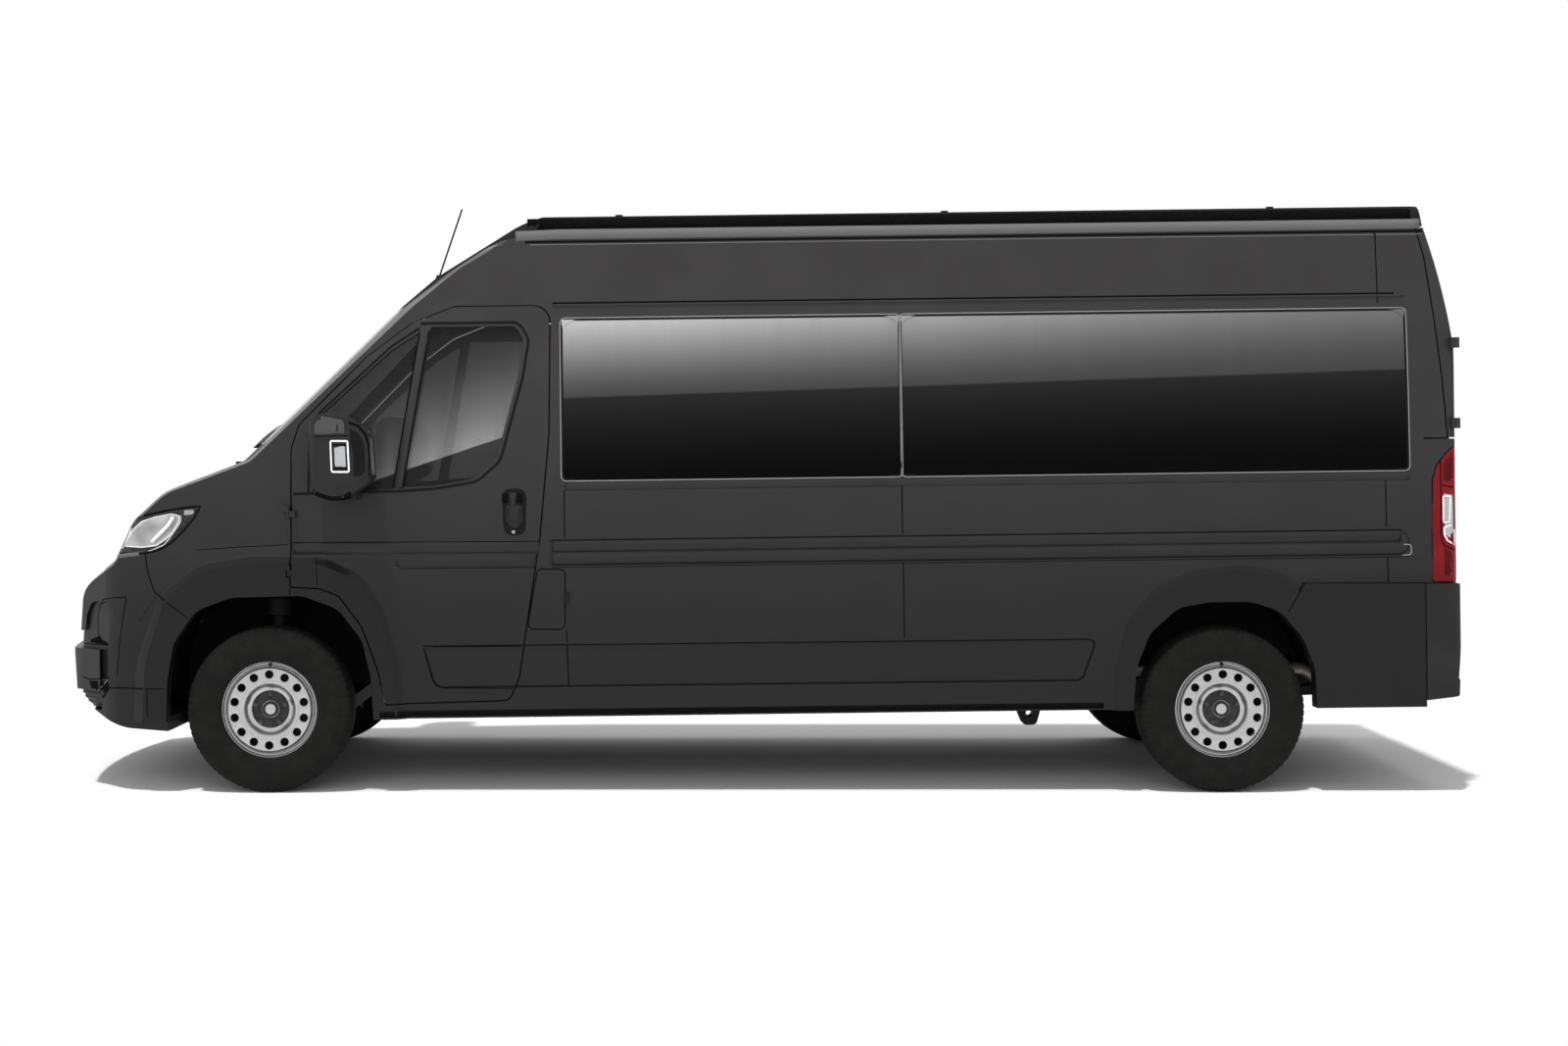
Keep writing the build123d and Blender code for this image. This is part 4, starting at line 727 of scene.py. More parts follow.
def stripRows(rows, side):
    for name, row in rows.items():
        paths = row["paths"] + row.get(side, [])
        if "onWall" in row:
            wall = caster(side, ["side_wall_" + side])
            laid(name + "_" + side, wall, paths, row["section"], row["finish"], radius=row["radius"])
        else:
            sideStrips(name + "_" + side, side, paths, row["section"], row["finish"],
                       "cab_door_" + side if "onDoor" in row else "root", radius=row.get("radius", 0))


def dressSide(side):
    stripRows(upperRows, side)
    paneFrames(side)
    stripRows(lowerRows, side)
    # the seal of the door gap behind the cab door's foot
    seal = sideTrim["gapSeal"]
    corners = [at(u, sideNodes[side] * y, h) for u in seal["along"] for y in seal["across"] for h in seal["up"]]
    meshPiece("doorGapSeal_" + side, corners, [(0, 1, 3, 2), (4, 6, 7, 5), (0, 4, 5, 1), (2, 3, 7, 6), (0, 2, 6, 4),
                                               (1, 5, 7, 3)], "sealRubber", smooth=False)
    # painted highlight: a bright outline round the rounded rear end of the pressed band
    sideStrips("bandEnd_" + side, side, [sideTrim["bandEnd"]], halfRound(5, 3), "brightLip")


for side in sideNodes:
    dressSide(side)
print("side trim made")

# door handles
handleLook = {
    "halfWidth": 56, "halfHeight": 107, "corner": 46, "taper": 0.9, "proud": 24, "dish": 6,
    "grip": [(-20, 82, 6), (8, 82, 6), (10, 34, 6), (34, 24, 12), (33, -38, 20), (10, -68, 12), (-12, -68, 12),
             (-36, -38, 20), (-36, 24, 12), (-22, 34, 6)],
    "wells": {"Front": -39, "Rear": 24}, "wellRise": 58, "well": (13, 22, 6),
    "lockPlace": (-5, -84), "lock": (11, 10, 9), "onCabDoor": (1047, 1174), "onSlidingDoor": (1330, 1150)}


def patchGrid(side, outline, bulge, sink=2, rings=7):
    # a domed pad over a rounded outline in the side view; bulge gives its height by the share from the edge
    sign = sideNodes[side]
    centre = Vector((sum(p[0] for p in outline) / len(outline), sum(p[1] for p in outline) / len(outline)))
    flat = abs(sideSpot(side, centre.x, centre.y)[0].y)
    points = []
    for r in range(rings + 1):
        share = r / rings
        lift = -sink if r == 0 else bulge(share)
        for p in outline:
            inset = centre + (Vector(p) - centre) * (1 - share)
            point = at(inset.x, 0, inset.y)
            hit = sideSpot(side, inset.x, inset.y)
            depth = abs(hit[0].y) if hit and abs(abs(hit[0].y) - flat) < 0.03 else flat
            points.append(Vector((point.x, sign * (depth + lift / 1000), point.z)))
    count = len(outline)
    faces = netFaces(rings + 1, count)
    faces.append(tuple(rings * count + k for k in range(count)))
    return points, faces


def pill(u, h, halfWidth, halfHeight, corner, taper=1.0):
    box = [(u - halfWidth, h + halfHeight, corner), (u + halfWidth, h + halfHeight, corner),
           (u + halfWidth * taper, h - halfHeight, corner), (u - halfWidth * taper, h - halfHeight, corner)]
    return roundedLine(box, 0, 14, True)


def domed(height):
    return lambda share: height * math.sin(min(1, share * 1.6) * math.pi / 2)


def doorHandle(name, side, body, u, h):
    # a black oval cup with a grip that widens downwards, two finger openings at its top and a lock under it
    look = handleLook
    cup = patchGrid(side, pill(u, h, look["halfWidth"], look["halfHeight"], look["corner"], look["taper"]),
                    domed(look["dish"]))
    meshPiece(name + "Cup_" + side, *cup, "sealRubber", body)
    outline = [(u + du, h + dh, corner) for du, dh, corner in look["grip"]]
    grip = patchGrid(side, roundedLine(outline, 0, 14, True), domed(look["proud"]), -5)
    meshPiece(name + "Grip_" + side, *grip, "mouldedBlack", body)
    for part, shift in look["wells"].items():
        well = patchGrid(side, pill(u + shift, h + look["wellRise"], *look["well"]), lambda share: look["dish"] + 1, 0)
        meshPiece(name + "Well" + part + "_" + side, *well, "seamDark", body)
    du, dh = look["lockPlace"]
    lock = patchGrid(side, pill(u + du, h + dh, *look["lock"]), domed(look["dish"] + 4))
    meshPiece(name + "Lock_" + side, *lock, "silverSteel", body)


for side in sideNodes:
    doorHandle("cabHandle", side, "cab_door_" + side, *handleLook["onCabDoor"])
doorHandle("slidingHandle", "right", "root", *handleLook["onSlidingDoor"])
print("handles made")

# headlamps: a dark shell, a bright bowl, its edge, a white light band and a silver tip behind the lens
headlampLook = {
    "outline": [(-668, 1026), (-637, 1104), (-589, 1145), (-538, 1166), (-440, 1186), (-335, 1202), (-296, 1206),
                (-320, 1167), (-360, 1118), (-414, 1066), (-460, 1040), (-512, 1026), (-600, 1028)],
    "seal": [(-678, 1019), (-640, 1109), (-589, 1153), (-538, 1174), (-440, 1195), (-335, 1211), (-282, 1215),
             (-307, 1167), (-350, 1116), (-407, 1060), (-456, 1033), (-512, 1018), (-600, 1019)],
    "bowl": [(-618, 1050), (-588, 1092), (-558, 1130), (-528, 1154), (-474, 1172), (-405, 1184), (-372, 1174),
             (-376, 1148), (-400, 1108), (-432, 1076), (-470, 1052), (-530, 1044)],
    "band": [(-398, 1172), (-419, 1136), (-454, 1102), (-492, 1064)],
    "line": [(-366, 1178), (-367, 1148), (-399, 1103), (-434, 1056), (-466, 1034), (-505, 1028)],
    "eye": [(735, 1036), (735, 1090), (905, 1124), (930, 1100), (930, 1040)],
    "tip": [(-352, 1198), (-300, 1204), (-318, 1180), (-352, 1178)]}


def headlamp(side):
    look = headlampLook
    lens = caster(side, ["headlamps"])
    around = caster(side, ["headlamps", "front_fenders", "front_bumper", "bonnet"])
    patch("lampShell_" + side, lens, look["outline"], bowl(26, 20), "glossBlack", hub=(-490, 1100))
    patch("lampBowl_" + side, lens, look["bowl"], bowl(6, 16), "reflector", rings=8)
    laid("lampBowlEdge_" + side, lens, [look["bowl"]], raisedBar(5, -8, -4), "lampWhite", closed=True)
    laid("lampBand_" + side, lens, [look["band"]], raisedBar(15, -9, -3), "lampWhite", radius=60)
    laid("lampLine_" + side, lens, [look["line"]], raisedBar(5, -6, -2), "chrome", radius=40)
    patch("lampTip_" + side, lens, look["tip"], flush(-4, 6), "silverSteel", rings=2)
    laid("lampSeal_" + side, around, [look["seal"]], flatBar(8, 0.6), "seamDark", closed=True)
    front = caster("front", ["headlamps"])
    sign = sideNodes[side]
    eye = [(sign * y, h) for y, h in look["eye"]]
    patch("lampEye_" + side, front, eye, bowl(6, 14), "reflector", radius=14)
    laid("lampEyeEdge_" + side, front, [eye], raisedBar(5, -7, -3), "lampWhite", closed=True, radius=14)


# front bumper: the square recess, the dark gaps over and under its bar as patches of painted shade, the tow cover line
# and the chin
bumperLook = {
    "recess": [(-678, 627), (-733, 642, 20), (-754, 673, 20), (-756, 742, 60), (-742, 794, 30), (-717, 821, 30),
               (-672, 828, 10), (-606, 834, 8), (-602, 823), (-618, 747), (-637, 630), (-649, 499)],
    "upperGap": [(-752, 668), (-724, 648), (-680, 630), (-690, 622), (-812, 626), (-820, 640)],
    "fogWell": [(-806, 474), (-745, 480), (-694, 487), (-680, 465), (-677, 430), (-726, 388), (-770, 398)],
    "fogLine": [(-772, 402), (-700, 478)],
    "seams": [[(-829, 484), (-798, 475), (-687, 489)], [(-510, 450), (-510, 330)], [(-836, 622), (-690, 624)]],
    "crease": [(-466, 846), (-521, 774), (-541, 736)],
    "shoulder": [(-742, 944), (-719, 980), (-677, 1000), (-600, 1011), (-525, 1018)]}


def bumper(side):
    look = bumperLook
    skin = caster(side, ["front_bumper"])
    laid("bumperLines_" + side, skin, [look["recess"]] + look["seams"], flatBar(4.5, 0.6), "seamDark", radius=8)
    # painted shade: dark patches over the gap above the bar and the fog well below it
    patch("bumperGap_" + side, skin, look["upperGap"], flush(1.2), "seamDark", rings=2)
    patch("fogWell_" + side, skin, look["fogWell"], flush(1.2), "seamDark", rings=3)
    # painted highlight: a bright line along the fog well's edge
    laid("fogLine_" + side, skin, [look["fogLine"]], halfRound(4, 2.6), "brightLip")
    # painted highlight: a lighter strip along the bumper's shoulder
    laid("bumperShoulder_" + side, skin, [look["shoulder"]], wedge(16, 2.5), "gutterPaint", radius=60)
    laid("bumperCrease_" + side, skin, [look["crease"]], wedge(7, 2), "bodyPaint", radius=60)


# mirror: cap joint, dark back part with its seal, underside darkened as painted shade, turn repeater, glass
mirrorLook = {
    "back": [(383, 1556), (419, 1540), (450, 1502), (462, 1453), (464, 1318), (398, 1316), (400, 1419), (383, 1494)],
    "seal": [(386, 1560), (425, 1546), (454, 1508), (465, 1468), (468, 1406), (469, 1318)],
    "under": [(211, 1290), (247, 1264), (300, 1247), (357, 1247), (392, 1268)],
    "repeater": [(308, 1484), (380, 1483), (385, 1355), (312, 1356)],
    "cap": [(240, 1585), (262, 1597), (366, 1580), (380, 1562), (381, 1508), (212, 1507), (210, 1560)],
    "joint": [(210, 1503), (383, 1505)], "bars": [[(316, 1468), (373, 1467)], [(320, 1371), (376, 1370)]],
    "glass": [(1228, 1300), (1228, 1560), (1075, 1570), (1062, 1300)]}


def mirror(side):
    look = mirrorLook
    body = "cab_door_" + side
    shell = caster(side, ["mirror_" + side])
    fromBehind = caster("rear", ["mirror_" + side])
    glass = [(sideNodes[side] * y, h) for y, h in look["glass"]]
    laid("mirrorJoint_" + side, shell, [look["joint"]], flatBar(4, 0.6), "seamDark", body)
    # painted highlight: the cap in the lighter paint of faces that lean up to the light
    patch("mirrorCap_" + side, shell, look["cap"], flush(1), "greyPaint", body, rings=3)
    patch("mirrorBack_" + side, shell, look["back"], flush(0.8), "sealRubber", body, rings=3)
    laid("mirrorSeal_" + side, shell, [look["seal"]], flatBar(10, 1.2), "seamDark", body, radius=30)
    # painted shade: a dark strip along the mirror's underside
    laid("mirrorUnder_" + side, shell, [look["under"]], flatBar(18, 0.8), "seamDark", body, radius=30)
    patch("repeaterGlass_" + side, shell, look["repeater"], flush(0.5), "whiteLens", body, rings=2, radius=6)
    laid("repeaterFrame_" + side, shell, [look["repeater"]], flatBar(7, 1.1), "lampWhite", body, closed=True, radius=8)
    laid("repeaterBars_" + side, shell, look["bars"], flatBar(6, 1.3), "seamDark", body)
    patch("mirrorGlass_" + side, fromBehind, glass, flush(2.0), "mirrorFace", body, rings=3, radius=25)
    laid("mirrorRim_" + side, fromBehind, [glass], halfRound(9, 3.5), "mouldedBlack", body, closed=True, radius=25)


# tail lamp: brake light, upper and lower dark parts, clear insert with two white frames, turn light behind
tailLampLook = {
    "upper": [(4975, 1372), (5024, 1404), (5028, 1230), (4973, 1238)],
    "lower": [(4969, 838), (4967, 1000), (4990, 982), (5024, 962), (5028, 838)],
    "clear": [(4973, 1234), (5030, 1224), (5030, 968), (4993, 992), (4975, 1022)],
    "frames": [[(4978, 1190), (5008, 1191), (5003, 1082), (4977, 1080)],
               [(4979, 1058), (5006, 1068), (5022, 1046), (5022, 984), (4991, 1004), (4979, 1030)]],
    "divides": [[(4969, 1355), (4966, 1005), (4979, 981), (5026, 962)], [(4975, 1238), (5022, 1228)]],
    "gap": [(5026, 829), (4924, 830), (4927, 1050), (4934, 1262), (4950, 1317), (4988, 1370), (5032, 1410)],
    "across": (905, 978),
    "behind": [("Brake", 1245, 1395, "redDeep"), ("Turn", 1140, 1236, "amberLens"),
               ("Reverse", 985, 1130, "whiteLens"), ("Fog", 845, 975, "redDeep")]}


def tailLamp(side):
    look = tailLampLook
    shape = caster(side, ["tail_lamps"])
    behind = caster("rear", ["tail_lamps"])
    around = caster(side, ["tail_lamps", "side_wall_" + side])
    patch("lampUpper_" + side, shape, look["upper"], flush(1), "redDeep", rings=2)
    patch("lampLower_" + side, shape, look["lower"], flush(1), "redDeep", rings=2)
    patch("lampClear_" + side, shape, look["clear"], flush(1), "whiteLens", rings=2)
    laid("lampFrames_" + side, shape, look["frames"], flatBar(6, 2), "lampWhite", closed=True)
    laid("lampDivide_" + side, shape, look["divides"], flatBar(4, 1.6), "seamDark")
    laid("lampGap_" + side, around, [look["gap"]], flatBar(4, 0.5), "seamDark", radius=20)
    near, far = [sideNodes[side] * y for y in look["across"]]
    for name, low, high, material in look["behind"]:
        patch("lamp" + name + "_" + side, behind, [(near, low), (near, high), (far, high), (far, low)], flush(1.2),
              material, rings=2, radius=8)


for side in sideNodes:
    headlamp(side)
    bumper(side)
    mirror(side)
    tailLamp(side)
print("lamps, bumper and mirrors dressed")

# nose: blank plate in its frame, intake slats and creases on the bonnet
noseSkin = caster("front", ["front_bumper", "bonnet", "cowl"])
plateLook = {"front": [(-260, 490), (260, 490), (260, 600), (-260, 600)],
             "rear": [(-600, 980), (-80, 980), (-80, 1090), (-600, 1090)]}
noseLook = {"intake": {"top": 482, "bottom": 318, "rows": 25, "setBack": 14, "slope": 40, "curl": 80, "rib": 5,
                       "barHeight": 560, "halfWidth": 980, "step": 28, "thick": 14},
            "creases": [[(y, 1060), (y * 0.93, 1200), (y * 0.85, 1330)] for y in (-430, 430)]}
patch("frontPlate", noseSkin, plateLook["front"], flush(0.8), "plateBlank", rings=2)
laid("frontPlateFrame", noseSkin, [plateLook["front"]], flatBar(14, 1.6), "mouldedBlack", closed=True)


def intakePanel(look):
    # the ribbed lower intake that joins the bumper bar to the chin
    rows = []
    for k in range(look["rows"]):
        share = k / (look["rows"] - 1)
        h = look["top"] + (look["bottom"] - look["top"]) * share
        rib = look["rib"] if k % 3 == 1 else 0
        rows.append((h, look["setBack"] + look["slope"] * share + look["curl"] * share ** 4 - rib))
    bar = caster("front", ["front_bumper"])
    fronts = [(y, bar(y, look["barHeight"])) for y in range(-look["halfWidth"], look["halfWidth"] + 1, look["step"])]
    fronts = [(y, (hit[0] - datum).dot(along) * 1000) for y, hit in fronts if hit]
    points = [at(u + back + deeper, y * (1 - (back - look["setBack"]) / 4000), h)
              for deeper in (0, look["thick"]) for h, back in rows for y, u in fronts]
    net = netFaces(len(rows), len(fronts), closedRing=False)
    layer = len(rows) * len(fronts)
    faces = net + [tuple(corner + layer for corner in face) for face in net]
    meshPiece("lowerIntake", points, faces, "mouldedBlack", smooth=False)


intakePanel(noseLook["intake"])
laid("bonnetCreases", noseSkin, noseLook["creases"], wedge(10, 2.2), "bodyPaint", "bonnet", radius=60)

# tail: seals round the rear panes, blank plate, handle, plate lamp, high brake light and bumper tread
tailLook = {"pane": [(190, 1330, 60), (787, 1330, 60), (770, 1990, 70), (190, 1990, 60)], "bands": (1150, 930),
            "bandFrom": 60, "bandTo": 860, "jointAcross": 8, "joint": (850, 2320),
            "plateLamp": [(-430, 1114), (-250, 1114)], "handleCup": [(60, 1010), (60, 1120), (230, 1120), (230, 1010)],
            "handleGrip": [(80, 1066), (210, 1066)], "brakeLight": [(-170, 2378), (170, 2378)],
            "treads": (4990, 5004, 5018, 5032), "treadHalf": 560}
doorSkins = {side: caster("rear", ["rear_door_" + side, "rear_glass_" + side]) for side in sideNodes}


def rearDoor(side):
    look, door, skin, sign = tailLook, "rear_door_" + side, doorSkins[side], sideNodes[side]
    laid("rearPaneSeal_" + side, skin, [[(sign * y, h, corner) for y, h, corner in look["pane"]]], halfRound(12, 3),
         "sealRubber", door, closed=True)
    laid("rearDoorBand_" + side, skin, [[(sign * look["bandFrom"], h), (sign * look["bandTo"], h)]
                                        for h in look["bands"]], wedge(14, 2.5), "bodyPaint", door)
    laid("rearDoorJoint_" + side, skin, [[(sign * look["jointAcross"], h) for h in look["joint"]]], halfRound(8, 2.5),
         "sealRubber", door)


def rearFittings():
    look = tailLook
    patch("rearPlate", doorSkins["left"], plateLook["rear"], flush(5), "plateBlank", "rear_door_left", rings=2)
    laid("rearPlateFrame", doorSkins["left"], [plateLook["rear"]], flatBar(12, 8), "mouldedBlack", "rear_door_left",
         closed=True)
    laid("plateLamp", doorSkins["left"], [look["plateLamp"]], raisedBar(24, -1, 8), "mouldedBlack", "rear_door_left")
    patch("rearHandleCup", doorSkins["right"], look["handleCup"], flush(4), "mouldedBlack", "rear_door_right",
          rings=2, radius=22)
    laid("rearHandleGrip", doorSkins["right"], [look["handleGrip"]], raisedBar(26, 3, 10), "glossBlack",
         "rear_door_right")
    roofTail = caster("rear", ["roof", "rear_door_left", "rear_door_right"])
    laid("highBrakeLight", roofTail, [look["brakeLight"]], raisedBar(26, -1, 7), "redLens")
    half = look["treadHalf"]
    laid("bumperTread", caster("above", ["rear_bumper"]), [[(u, -half), (u, half)] for u in look["treads"]],
         halfRound(5, 2.5), "mouldedBlack")


for side in sideNodes:
    rearDoor(side)
rearFittings()
print("nose and tail dressed")

# wheels
wheelLook = {"turns": 288, "blocks": 72, "grooveDepth": 7, "ribDepth": 1.7, "boltCircle": 65, "boltCount": 5,
             "holes": 14, "holeCircle": 150, "holeRadius": 17.5}
# half of the tyre's section: distance from the axle and from the middle, mm, then how far the fine ribs reach in
tyreSection = [(203, 84, 0), (207, 94, 0), (214, 98, 0), (219, 99, 0), (224, 103, 0), (229, 103.5, 0), (234, 106, 0),
               (246, 109, 0), (262, 111.2, 0), (272, 112.2, 0), (275, 111.2, 0), (286, 111.4, 0), (298, 110.2, 0),
               (303, 108.6, 1), (314, 106.4, 1), (326, 102, 1), (335, 96.5, 1), (341, 91, 1), (345, 85, 1),
               (347, 76, 0.6), (348, 66, 0), (348.2, 60, 0), (341, 58.5, 0), (341, 52.5, 0), (348.6, 51, 0),
               (349.3, 36, 0), (349.5, 22, 0), (342, 20.5, 0), (342, 14.5, 0), (349.8, 13, 0), (350, 0, 0)]
# the rim from the outer flange in to the disc, and from the disc's inner edge into the bowl
rimOuter = [(214, 82), (219.6, 85), (220.5, 87.4), (219.6, 89.6), (217, 90.4), (213.5, 89.4), (210, 85.5),
            (207, 79), (205.2, 73), (204.6, 70.5), (201, 70), (198.6, 67), (196.5, 60), (194.6, 57.4), (191, 57),
            (188.6, 59.5), (187, 66), (185.4, 70.6), (183.2, 71.4), (182.2, 70.4), (181.6, 74), (180.4, 80),
            (177.6, 85.6), (173.6, 89.4), (171, 90.4)]
rimInner = [(128.5, 90.4), (126.6, 89.6), (125.2, 87.4), (123.4, 86.6), (121.4, 87.2), (119.4, 87), (114, 85),
            (108, 79.6), (102.6, 71), (98.6, 62), (94, 56.4), (87, 54.4), (80, 54), (34, 54)]
rimBarrel = [(196, 58), (197, 20), (178, 10), (178, -30), (196, -40), (197, -80), (204, -86), (217, -90), (220.5, -88),
             (214, -82)]


def wheelPlace(name):
    # the wheel's middle and its outward side, from the frame's own rim
    low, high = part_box("rim_" + name)
    middle = (Vector(low) + Vector(high)) / 2
    return middle, (-1 if middle.y < 0 else 1)


def tyreMesh():
    look = wheelLook
    turns = look["turns"]
    section = tyreSection + [(r, -w, rib) for r, w, rib in reversed(tyreSection[:-1])]
    perBlock = turns // look["blocks"]
    points = []
    for i in range(turns):
        angle = 2 * math.pi * i / turns
        for r, w, rib in section:
            radius, wide = r, w
            if rib and i % perBlock == 0:
                radius -= look["ribDepth"] * rib * (2.4 if r > 334 else 1)
                wide -= math.copysign(look["ribDepth"] * rib * (1.2 if r < 340 else 0.4), w)
            if r > 347.9 and abs(w) > 50 and (i + (0 if w > 0 else 2)) % perBlock == 0:
                radius -= look["grooveDepth"] * 0.7
            points.append((radius / 1000 * math.cos(angle), wide / 1000, radius / 1000 * math.sin(angle)))
    return points, netFaces(turns, len(section), True)


def lathe(profile, parts=64, centre=(0, 0), turn=0.0, capped=True):
    # a profile of (radius, out) millimetres turned about an axle through centre (x, z)
    points = []
    ring = len(profile)
    for i in range(parts):
        angle = 2 * math.pi * i / parts + turn
        points += [((centre[0] + r * math.cos(angle)) / 1000, w / 1000, (centre[1] + r * math.sin(angle)) / 1000)
                   for r, w in profile]
    faces = netFaces(parts, ring, True, False)
    if capped:
        for k in (0, ring - 1):
            faces.append(tuple(i * ring + k for i in range(parts)))
    return points, faces


def holedRing(inner, outer, level, perSide=8):
    # a flat ring with a row of round holes, each with a rolled edge and a short wall
    look = wheelLook
    points, faces = [], []
    steps = [(None, level), (look["holeRadius"] + 2.6, level), (look["holeRadius"] + 0.9, level - 0.5),
             (look["holeRadius"], level - 2.2), (look["holeRadius"], level - 8)]
    for s in range(look["holes"]):
        start, stop = 2 * math.pi * s / look["holes"], 2 * math.pi * (s + 1) / look["holes"]
        edge = [(inner + (outer - inner) * k / perSide, start) for k in range(perSide)]
        edge += [(outer, start + (stop - start) * k / perSide) for k in range(perSide)]
        edge += [(outer + (inner - outer) * k / perSide, stop) for k in range(perSide)]
        edge += [(inner, stop + (start - stop) * k / perSide) for k in range(perSide)]
        middle = (start + stop) / 2
        hub = Vector((look["holeCircle"] * math.cos(middle), look["holeCircle"] * math.sin(middle)))
        first = len(points)
        for radius, w in steps:
            for r, a in edge:
                spot = Vector((r * math.cos(a), r * math.sin(a)))
                if radius:
                    spot = hub + (spot - hub).normalized() * radius
                points.append((spot.x / 1000, w / 1000, spot.y / 1000))
        faces += [tuple(first + corner for corner in face) for face in netFaces(len(steps), len(edge))]
    return points, faces


def rimMesh():
    around = wheelLook["holes"] * 8
    return gathered([lathe(rimOuter, around, capped=False), holedRing(128.5, 171, 90.4),
                     lathe(rimInner, around, capped=False), lathe(rimBarrel, around, capped=False)])


def boltHead(circle, turn, base):
    # a wheel bolt: a round washer foot, a six-sided head and a shallow domed top
    spot = (circle * math.cos(turn), circle * math.sin(turn))
    return gathered([lathe([(14, base), (14, base + 3), (12, base + 5)], 20, spot),
                     lathe([(11, base + 3), (11, base + 15), (9.5, base + 17.5), (5, base + 19)], 6, spot, turn)])


tyreShape = tyreMesh()
rimShape = rimMesh()
turnOf = [2 * math.pi * k / wheelLook["boltCount"] + math.pi / 2 for k in range(wheelLook["boltCount"])]
boltShape = gathered([boltHead(wheelLook["boltCircle"], turn, 54) for turn in turnOf])
capShape = lathe([(34, 50), (34, 60), (31, 63.5), (27, 64.2), (24, 62), (23, 58)], 48)
pinShape = lathe([(22.8, 56), (22.4, 61), (19, 63.2), (12, 64), (6, 64)], 40)
hubShape = gathered([lathe([(176, -20), (176, -4), (88, 2), (88, 20), (62, 22), (62, -62)], 64),
                     lathe([(80, 54.3), (77, 56), (52, 56.5), (49, 55), (36, 55)], 60, capped=False)])
valveShape = gathered([lathe([(4.2, 58), (4.2, 74), (5.2, 75), (5.2, 84), (4, 85.5)], 16, (0, 191))])


def wheelPiece(name, shape, body, material, middle, out):
    points, faces = shape
    spots = [(middle.x + p[0], middle.y + out * p[1], middle.z + p[2]) for p in points]
    return meshPiece(name, spots, faces, material, body)


def weld(piece, reach=0.00005, sharpAngle=35):
    tidy = bmesh.new()
    tidy.from_mesh(piece.data)
    bmesh.ops.remove_doubles(tidy, verts=tidy.verts, dist=reach)
    bmesh.ops.recalc_face_normals(tidy, faces=tidy.faces)
    for edge in tidy.edges:
        edge.smooth = edge.calc_face_angle(0) < math.radians(sharpAngle)
    tidy.to_mesh(piece.data)
    tidy.free()
    return piece


for name in ("front_left", "front_right", "rear_left", "rear_right"):
    body = "wheel_" + name
    middle, out = wheelPlace(name)
    # the rim's box is centred on the wheel, and its widest points are the flanges
    tyre = weld(wheelPiece("tyreTread_" + name, tyreShape, body, "rubber", middle, out), sharpAngle=50)
    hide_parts("tyre_" + name)
    rim = weld(wheelPiece("steelRim_" + name, rimShape, body, "silverSteel", middle, out))
    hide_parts("rim_" + name)
    weld(wheelPiece("brakeHub_" + name, hubShape, body, "hubDark", middle, out))
    weld(wheelPiece("wheelBolts_" + name, boltShape, body, "boltDark", middle, out))
    weld(wheelPiece("hubCap_" + name, capShape, body, "hubDark", middle, out))
    weld(wheelPiece("hubPin_" + name, pinShape, body, "silverSteel", middle, out))
    weld(wheelPiece("valve_" + name, valveShape, body, "sealRubber", middle, out))
print("wheels made")

# seats: one crowned pad for each place, with sewn channels and piping; rows as (front edge, left, right, places)
seatLook = {"rows": [(800, -690, -170, 1), (800, -30, 860, 2), (1900, -905, -35, 2), (1900, 420, 895, 1),
                     (2680, -905, -35, 2), (2680, 420, 895, 1), (3460, -905, -35, 2), (3460, 420, 895, 1),
                     (4240, -905, -35, 2), (4240, 35, 905, 2)],
            "foot": 900, "thick": 110, "length": 470, "backTop": 1600, "backFoot": 1018, "gap": 5, "corner": 34,
            "crown": 20, "channel": 8, "pullIn": 0.025,
            # feet and tops of the back's two faces, the head rest's four corners and half its width
            "backRear": (490, 619), "backFront": (382, 521), "restHalf": 125, "restCrown": 10, "restCorner": 26,
            "rest": [(619, 1622), (654, 1768), (537, 1622), (566, 1768)],
            # sewn channels as (axis, place), and the belt as (behind the front edge, share of the way across, height)
            "cushionChannels": [(1, -0.55), (1, 0.55), (0, -0.45), (0, 0.35)], "restChannels": [(0, -0.3)],
            "backChannels": [(1, -0.55), (1, 0.55), (0, -0.35), (0, 0.1), (0, 0.5)],
            "belt": [(596, 0, 1606), (556, 0, 1608), (512, 0.05, 1590), (468, 0.3, 1420), (420, 0.65, 1210),
                     (376, 0.95, 1032), (372, 1, 1016)],
            "beltHalf": 23, "beltThick": 1, "beltInset": 60, "buckleInset": 90, "piping": 4}


